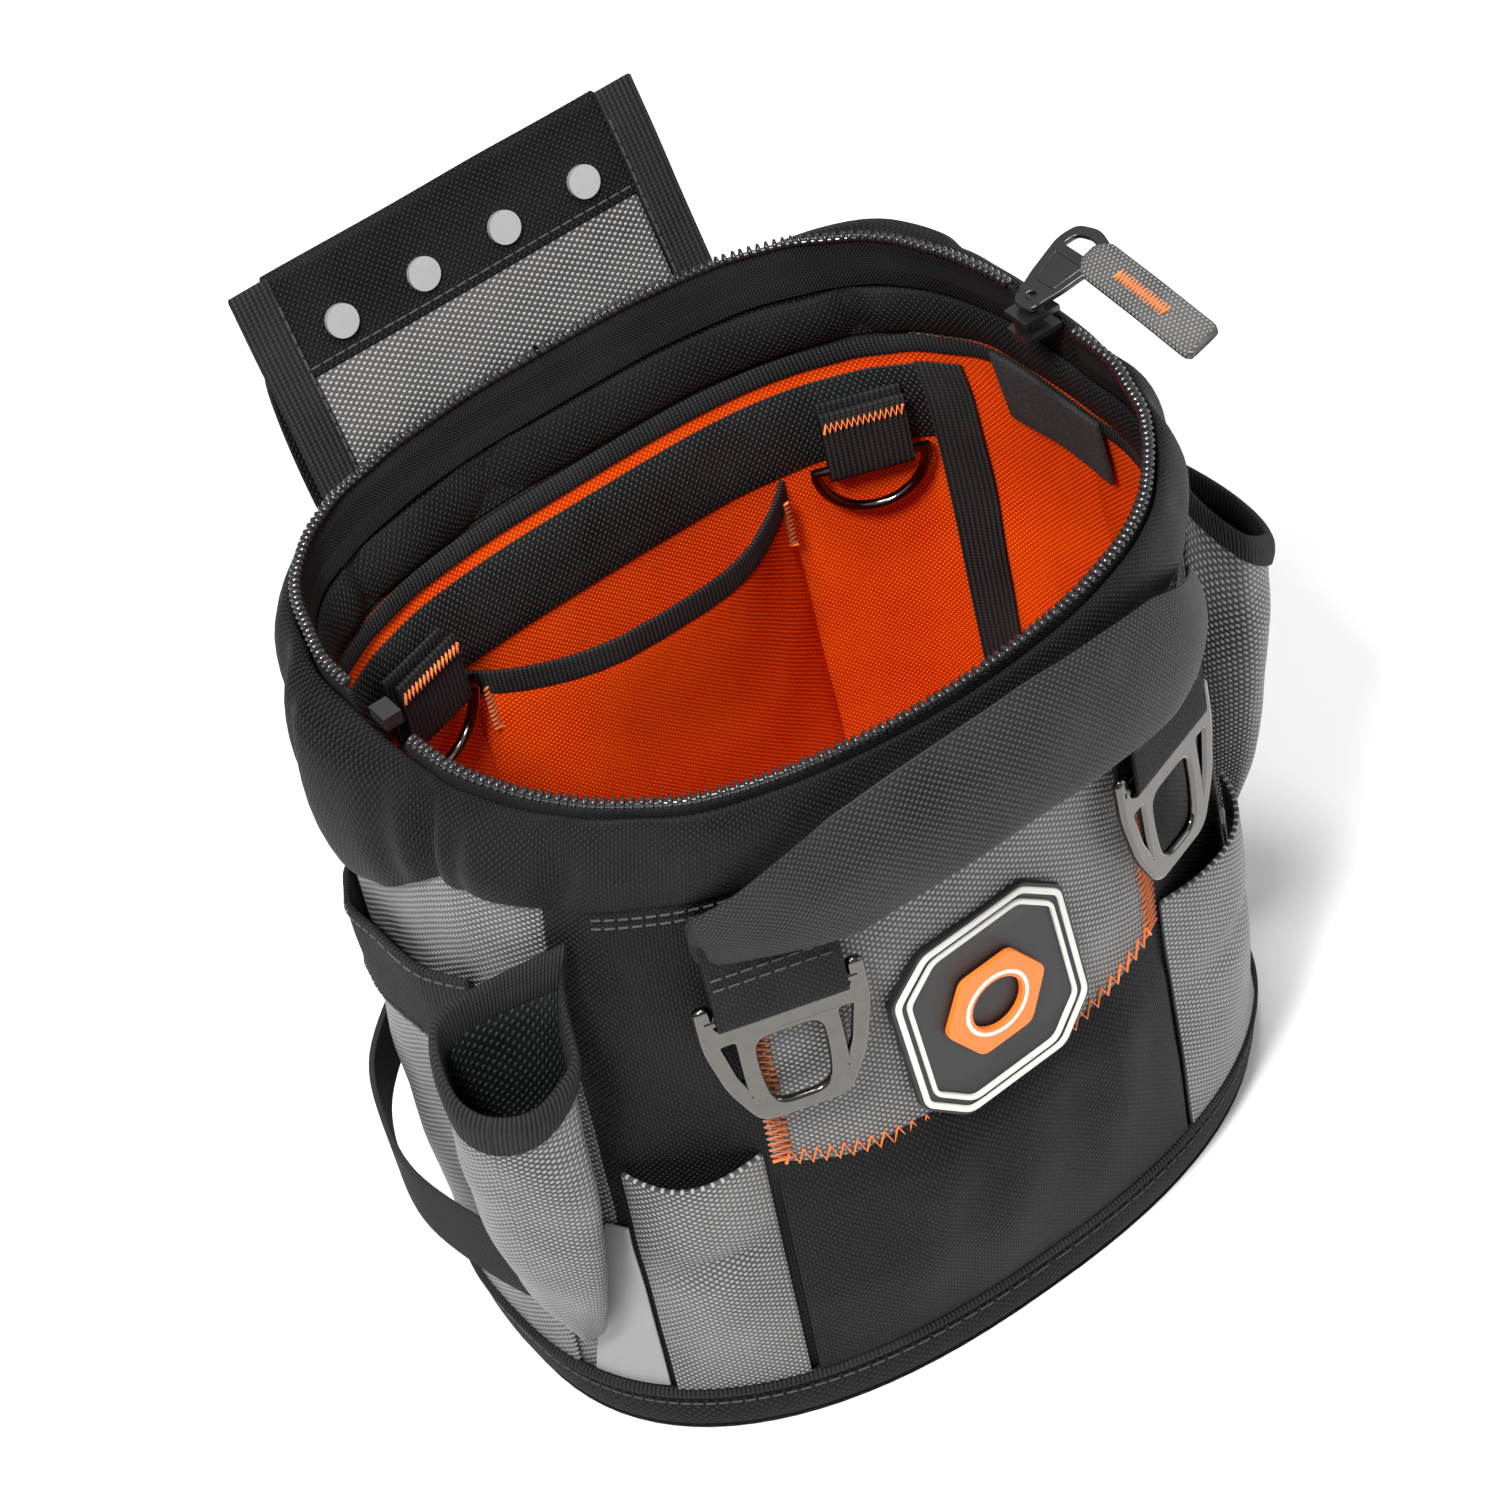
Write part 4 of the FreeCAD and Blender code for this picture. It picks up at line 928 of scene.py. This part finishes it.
def sleeve_point(turn, share, grow, sign, angle):
    """A point on the sleeve; its mouth is slanted, pinched where it meets the bag and low outside."""
    low, mouth = 38.0, 166.0
    z = low + (mouth - low) * share
    below = max(0.0, 1 - share)
    wide = 2.0 + 17.0 * (1 - below ** 3.6) ** 0.75
    deep = 2.0 + 11.5 * (1 - below ** 2.2)
    reach = deep + 2.6
    inward = math.cos(turn)
    wall_side = max(0.0, -inward)
    angle -= 6.0 * (1 - share)
    normal = wall_normal(z, angle)
    along = Vector((-normal.y, normal.x, 0))
    base = wall(z, angle, reach - slack(z, angle))
    crumple = 1.3 * noise.noise(Vector((math.cos(turn) * 1.3, math.sin(turn) * 1.3, z / 20.0)))
    out = (deep + grow + crumple) * inward
    side = (wide + grow + crumple) * math.sin(turn) * (1 - 0.78 * wall_side ** 1.2 * share)
    side += 15.0 * wall_side ** 2 * share ** 2
    slant = (9.0 * wall_side ** 2 - out * math.tan(math.radians(46))) * share ** 3
    point = base + normal * out + along * side + Vector((0, 0, slant))
    return Vector((point.x * -sign, point.y, point.z))


def sleeve(name, sign, angle):
    """A cloth tube closed at its low end, and the binding round its mouth."""
    def at(turn, share, grow=0.0):
        return sleeve_point(turn, share, grow, sign, angle)
    tip = at(0, 0, -3).lerp(at(math.pi, 0, -3), 0.5)

    def tube(s, t):
        closing, rim_share = 0.06, 0.97
        turn = math.tau * s * sign
        if t < closing:
            return at(turn, 0).lerp(tip, 0.92 * (1 - t / closing))
        return at(turn, (t - closing) / (1 - closing) * rim_share)
    mesh = grid_mesh("sleeve_cloth_" + name, tube, 40, 40, closed=True)
    mesh.flip_normals()
    obj = piece("sleeve_cloth_" + name, mesh, "bag", grey_cloth, ("sleeve_" + name,), "grey_nylon")
    mesh.materials.append(mesh_band)
    solid = obj.modifiers.new("Thickness", "SOLIDIFY")
    solid.thickness = 1.3 * MM
    solid.offset = -1.0
    solid.material_offset = 1
    subdivide(obj)

    # The binding's outline, as millimetres below the mouth and out from the cloth.
    outline = [(9.0, 1.0), (4.5, 1.6), (0.0, 1.7), (-2.2, 0.6), (-1.3, -1.2), (4.0, -2.2), (9.0, -2.0),
               (9.6, 0.0), (9.0, 1.0)]

    def rim(s, t):
        turn = math.tau * s * sign
        below, grow = on_path(outline, t)
        rise = (at(turn, 1.0, grow) - at(turn, 0.95, grow)).length
        return at(turn, 1 - 0.05 * below / rise, grow)
    mesh = grid_mesh("sleeve_rim_" + name, rim, 56, 16, closed=True)
    mesh.flip_normals()
    obj = piece("sleeve_rim_" + name, mesh, "bag", binding, ("sleeve_binding_" + name,), "black_webbing")
    subdivide(obj)


def accent(name, sign):
    """The smooth reinforcing patch at the front corner of the base, narrower toward its top."""
    def point(s, t):
        start, end = 196.5 + 11.0 * t, 212.0
        angle = start + (end - start) * s
        if sign > 0:
            angle = 180 - angle
        return wall(19 + 65 * t, angle, GAP + 1.0)
    mesh = grid_mesh("accent_" + name, point, 8, 16)
    if sign > 0:
        mesh.flip_normals()
    obj = piece("accent_" + name, mesh, "bag", accent_vinyl, ("corner_accent_" + name,), "accent_vinyl")
    thicken(obj, 0.9)


def hammer_loop():
    """A webbing strap that leaves the side pocket low in front, bows out and returns higher behind."""
    start = wall(53.0, 192.0, 3.2)
    low = wall(54.0, 180.0, 6.5)
    high = wall(84.0, 141.0, 6.0)
    end = wall(88.0, 133.0, 1.2)
    outward = wall_normal(60.0, 159.0)
    middle = (low + high) * 0.5 + outward * 14.0
    points = [start, low, low.lerp(middle, 0.5) + outward * 4.5, middle,
              high.lerp(middle, 0.5) + outward * 4.5, high, end]
    along = (high - low).normalized()
    tilted = along.cross(outward).normalized()

    def point(s, t):
        across = Vector((0, 0, 1)).lerp(tilted, 0.75 * t).normalized() * 12.5
        return smooth_path(points, t) + across * (2 * s - 1)
    mesh = grid_mesh("hammer_strap", point, 8, 40)
    obj = piece("hammer_strap", mesh, "bag", webbing, ("hammer_loop",), "black_webbing")
    thicken(obj, 1.7, both=True)


def smooth_path(points, share):
    """A point on a smooth line through the points."""
    place = min(share, 0.9999) * (len(points) - 1)
    i = int(place)
    t = place - i
    a = points[max(0, i - 1)]
    b, c = points[i], points[i + 1]
    d = points[min(len(points) - 1, i + 2)]
    return 0.5 * ((2 * b) + (c - a) * t + (2 * a - 5 * b + 4 * c - d) * t ** 2
                  + (3 * b - a - 3 * c + d) * t ** 3)


# ---- belt flap ----

FLAP_HEM = 4.5
FLAP_LEAN, FLAP_LENGTH, FLAP_HALF = math.radians(22.6), 90.0 + FLAP_HEM, 63.0
FLAP = Matrix.Translation((0, 82.0, 187.0)) @ Matrix.Rotation(-FLAP_LEAN, 4, "X")


def flap_point(x, y, z):
    """A point on the standing flap, whose cloth waves a little."""
    wave = 0.8 * noise.noise(Vector((x / 30.0, z / 30.0, 9.0)))
    return FLAP @ Vector((x, y + wave, z))


def flap_piece(name, x0, x1, z0, z1, depth, thickness, material, node, slot, columns=24, rows=20):
    """A rectangle of cloth on the flap; depth(up) is how far back it lies."""
    def point(s, t):
        return flap_point(x0 + (x1 - x0) * s, depth(t), z0 + (z1 - z0) * t)
    mesh = grid_mesh(name, point, columns, rows)
    thicken(piece(name, mesh, "belt_flap", material, (node,), slot), thickness)


def belt_flap():
    edge, band = 12.0, 25.0 + FLAP_HEM
    inner = FLAP_HALF - edge
    flap_piece("flap_grey", -inner - 1, inner + 1, 1, FLAP_LENGTH - band + 2, lambda t: 0.4, 1.2,
               grey_cloth, "flap_face_panel", "grey_nylon")

    def over_fold(s, t):
        x = (2 * s - 1) * (inner + 1)
        front = FLAP_LENGTH - band
        fold = 2.4
        run = band - fold
        arc = math.pi * fold
        place = t * (run + arc + 10)
        if place < run:
            y, z = -0.2, front + place
        elif place < run + arc:
            a = (place - run) / fold
            y, z = -0.2 + fold * (1 - math.cos(a)), FLAP_LENGTH - fold + fold * math.sin(a)
        else:
            y, z = -0.2 + 2 * fold, FLAP_LENGTH - fold - (place - run - arc)
        return flap_point(x, y, z)
    mesh = grid_mesh("flap_band", over_fold, 28, 36)
    thicken(piece("flap_band", mesh, "belt_flap", black_cloth, ("flap_top_band",), "black_fabric"), 1.4)
    for name, x0, x1 in (("left", -FLAP_HALF, -inner), ("right", inner, FLAP_HALF)):
        flap_piece("flap_side_" + name, x0, x1, 1, FLAP_LENGTH - 0.5, lambda t: -0.9, 1.8, webbing,
                   "flap_edge_" + name, "black_webbing", columns=6, rows=26)

    def bow(t):
        """The back layer hangs away from the face, and meets it under the band."""
        seam = 0.74
        return 3.0 + 8.6 * half_sine(t / seam) ** 0.6 if t < seam else 3.0 + 0.6 * (t - seam)
    flap_piece("flap_back", -FLAP_HALF + 1, FLAP_HALF - 1, 3, FLAP_LENGTH - 2, bow, 1.6, black_cloth,
               "flap_back_layer", "black_fabric", rows=36)
    for name, side in (("left", -1), ("right", 1)):
        def side_row(t, side=side):
            x = side * (inner - 1.6)
            return flap_point(x, -1.2, 3 + 84 * t) + FLAP.to_3x3() @ Vector((side * 2.4, 0, 0))
        stitch_line("flap_side_stitch_" + name, side_row, "belt_flap")
    stitch_line("flap_band_stitch", lambda t: flap_point(inner * (2 * t - 1), -0.5, 67.5), "belt_flap")
    dress_cad(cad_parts["belt_rivets"], satin_steel, 0.5)


def dress_cad(obj, material, bevel_mm):
    """A CAD node that keeps its shape: a new material and slightly rounded edges."""
    obj.data.materials.clear()
    obj.data.materials.append(material)
    bevel = obj.modifiers.new("Rounded", "BEVEL")
    bevel.width = bevel_mm * MM
    bevel.segments = 2
    bevel.limit_method = "ANGLE"
    bevel.angle_limit = math.radians(40)


def anchor():
    """The webbing strip that the flap is sewn to."""
    wall_piece("back_anchor", 162, 188, 39, 141, GAP + 2.2, 2.0, webbing, ("flap_anchor",),
               "black_webbing")


# ---- zipper pull ----

def pull_pieces():
    """The metal tab that stands up from the slider, and the webbing pull through its end."""
    matrix = Matrix.Translation((97.5, 0.0, 239.0)) @ Matrix.Rotation(math.radians(-16), 4, "Y")
    edge = [(-3.0, 3.0), (3.0, 4.8), (6.0, 5.8), (17.5, 8.2), (23.0, 6.6)]
    rim = rounded([(x, -y) for x, y in edge] + [(25.0, 0.0)] + edge[::-1], 2.2)
    window = rounded([(16.6, -6.0), (21.4, -4.8), (22.6, 0), (21.4, 4.8), (16.6, 6.0)], 1.6)
    plate = plate_mesh("pull_plate", [rim, oval((0.6, 0), 1.9, 1.9, 16), window], 1.7, 0.5, matrix)
    piece("pull_plate", plate, "pull_tab", black_metal, ("pull_tab",), "black_metal")
    inset = [rounded([(5.2, -3.9), (15.0, -5.9), (15.0, 5.9), (5.2, 3.9)], 1.0),
             rounded([(6.0, -3.3), (14.2, -5.1), (14.2, 5.1), (6.0, 3.3)], 0.8)]
    raised = plate_mesh("pull_ridge", inset, 2.2, 0.25, matrix)
    piece("pull_ridge", raised, "pull_tab", black_metal, (), "black_metal")

    centre = Vector((18.5, -4.5, 0.0))
    length, wide, lean = 47.0, 5.8, math.radians(4)

    def strap(s, t):
        y = centre.y + 1.2 - t * length
        squeeze = 1.0 - 0.55 * max(0.0, 1 - t / 0.09) ** 2 - 0.12 * max(0.0, (t - 0.96) / 0.04) ** 2
        turn = math.tau * s
        x = centre.x + wide * squeeze * signed_power(math.cos(turn), 0.35) - t * length * math.tan(lean)
        z = 1.5 * signed_power(math.sin(turn), 0.5)
        droop = -1.2 * t ** 2 + 0.5 * noise.noise(Vector((t * 3, 1, 1)))
        return matrix @ Vector((x, y, z + droop))
    mesh = grid_mesh("pull_strap", strap, 28, 40, closed=True)
    close_ends(mesh, 28)
    piece("pull_strap", mesh, "pull_loop", grey_tape, ("pull_loop",), "grey_webbing")
    ends = [matrix @ Vector((centre.x - y * math.tan(lean), centre.y + 1.2 - y,
                             1.9 - 1.2 * (y / length) ** 2)) for y in (13, 33)]
    bartack("pull_stitch", ends, 2.8, matrix.to_3x3() @ Vector((1, 0, 0)), "pull_loop", 0.6)
    dress_cad(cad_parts["zipper_slider"], black_metal, 0.35)
    dress_cad(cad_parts["zipper_end_stop"], tooth_plastic, 0.5)


def close_ends(mesh, columns):
    """Caps the two open ends of a closed tube grid."""
    work = bmesh.new()
    work.from_mesh(mesh)
    bmesh.ops.holes_fill(work, edges=[e for e in work.edges if e.is_boundary], sides=columns + 4)
    bmesh.ops.recalc_face_normals(work, faces=work.faces)
    work.to_mesh(mesh)
    work.free()
    mesh.shade_smooth()


# ---- inside ----

PHONE_LEFT, PHONE_RIGHT = -50.0, 54.0


def inside_pieces():
    wall_piece("organizer_strip", 168.5, 193, 30, 150, INNER, 0.8, mesh_band, ("organizer_band",),
               "black_webbing")
    start, end = back_angle(PHONE_RIGHT), back_angle(PHONE_LEFT)

    def pocket(s, t):
        return -(4.5 + 18.5 * t) * half_sine(s) ** 0.85 - 0.8 * noise.noise(Vector((s * 5, t * 4, 2)))
    wall_piece("phone_sleeve", 34, 160.5, start, end, INNER, 0.8, orange_cloth, ("phone_pocket",),
               "orange_lining", pocket)
    wall_piece("phone_edge", 160, 167.5, start, end, INNER + 0.2, 1.4, binding,
               ("phone_pocket_binding",), "black_webbing", lambda s, t: pocket(s, 1.0))
    for name, angle in (("right", start + 1.2), ("left", end - 1.2)):
        ends = [wall(z, angle, INNER - 4.8) for z in (148, 163)]
        normal = wall_normal(160, angle)
        bartack("phone_stitch_" + name, ends, 3.2, Vector((-normal.y, normal.x, 0)))
    tape = (143.5, 155.5)
    for name, angles in (("left", tape), ("right", mirrored(*tape))):
        wall_piece("tape_strip_" + name, 20, 194, *angles, INNER - 0.9, 0.8, webbing,
                   ("seam_tape_" + name,), "black_webbing", step=1.2)
    wall_piece("hook_patch", 181, 203, -7, 14, INNER - 1.8, 1.6, hook_cloth(), ("corner_patch",),
               "black_webbing")


def hook_cloth():
    shader = Shader("hook_and_loop", 0.95)
    fuzz = shader.noise(1400.0, 5.0)
    shader.colour(shader.mix(shader.ramp(fuzz, 0.35, 0.7), (0.003, 0.003, 0.003), (0.03, 0.03, 0.03)))
    shader.bump(fuzz, 0.9)
    return shader.material


def seam_stitches():
    """Topstitching: two rows under the collar and one round the base."""
    for i, z in enumerate((SEAM - 2.0, SEAM - 5.0)):
        def row(t, z=z):
            return wall(z, 218 + 104 * t, 1.5)
        stitch_line("collar_stitch_%d" % i, row, length=2.8)
    stitch_line("boot_stitch", lambda t: wall(12.5, 360 * t, 1.9), length=3.0)


# ---- camera, light and floor ----

CAMERA_PLACE = Vector((-0.3956, -0.7635, 0.9295))
CAMERA_RIGHT = Vector((0.7946, -0.5808, -0.177))
CAMERA_FORWARD = Vector((0.3347, 0.6622, -0.6704))
CAMERA_LENS = 107.96


def camera():
    data = bpy.data.cameras.new("Camera")
    data.lens = CAMERA_LENS
    data.sensor_width = 36.0
    data.clip_end = 20.0
    obj = bpy.data.objects.new("Camera", data)
    forward = CAMERA_FORWARD.normalized()
    up = CAMERA_RIGHT.normalized().cross(forward).normalized()
    right = forward.cross(up).normalized()
    turned = Matrix((right, up, -forward)).transposed().to_4x4()
    obj.matrix_world = Matrix.Translation(CAMERA_PLACE) @ turned
    bpy.context.scene.collection.objects.link(obj)
    bpy.context.scene.camera = obj


def area_light(name, place, target, size, power):
    """A round soft light aimed at a point."""
    data = bpy.data.lights.new(name, "AREA")
    data.shape = "DISK"
    data.size = size
    data.energy = power
    obj = bpy.data.objects.new(name, data)
    obj.location = place
    obj.rotation_euler = (Vector(target) - Vector(place)).to_track_quat("-Z", "Y").to_euler()
    bpy.context.scene.collection.objects.link(obj)


def studio():
    world = bpy.data.worlds.new("Studio")
    bpy.context.scene.world = world
    world.use_nodes = True
    nodes, links = world.node_tree.nodes, world.node_tree.links
    direction = nodes.new("ShaderNodeTexCoord")
    split = nodes.new("ShaderNodeSeparateXYZ")
    ramp = nodes.new("ShaderNodeValToRGB")
    links.new(direction.outputs["Generated"], split.inputs[0])
    links.new(split.outputs[2], ramp.inputs[0])
    ramp.color_ramp.elements[0].position = 0.05
    ramp.color_ramp.elements[0].color = (0.30, 0.30, 0.31, 1.0)
    ramp.color_ramp.elements[1].position = 0.7
    ramp.color_ramp.elements[1].color = (1.0, 1.0, 1.0, 1.0)
    links.new(ramp.outputs[0], nodes["Background"].inputs[0])
    nodes["Background"].inputs[1].default_value = 0.6
    area_light("Key", (-0.85, -0.65, 1.6), (0, 0, 0.12), 0.4, 42.0)
    area_light("Fill", (1.3, -1.0, 0.8), (0, 0, 0.1), 0.8, 6.0)
    area_light("Top", (-0.1, -0.3, 1.9), (0, 0, 0.1), 0.4, 20.0)
    mesh = bpy.data.meshes.new("floor")
    size, level = 6.0, -0.0005
    corners = [(x * size, y * size, level) for x, y in ((-1, -1), (1, -1), (1, 1), (-1, 1))]
    mesh.from_pydata(corners, [], [(0, 1, 2, 3)])
    floor = bpy.data.objects.new("floor", mesh)
    bpy.context.scene.collection.objects.link(floor)
    shader = Shader("floor_paper", 0.9)
    shader.colour((0.86, 0.86, 0.86, 1.0))
    mesh.materials.append(shader.material)
    bpy.context.scene.view_settings.view_transform = "Standard"


base_pieces()
shell_panels()
lining_pieces()
mouth_pieces()
zipper_teeth()
ring_set()
front_pieces()
badge()
handle()
side_pieces()
hammer_loop()
belt_flap()
anchor()
pull_pieces()
inside_pieces()
seam_stitches()
camera()
studio()

bpy.context.view_layer.update()
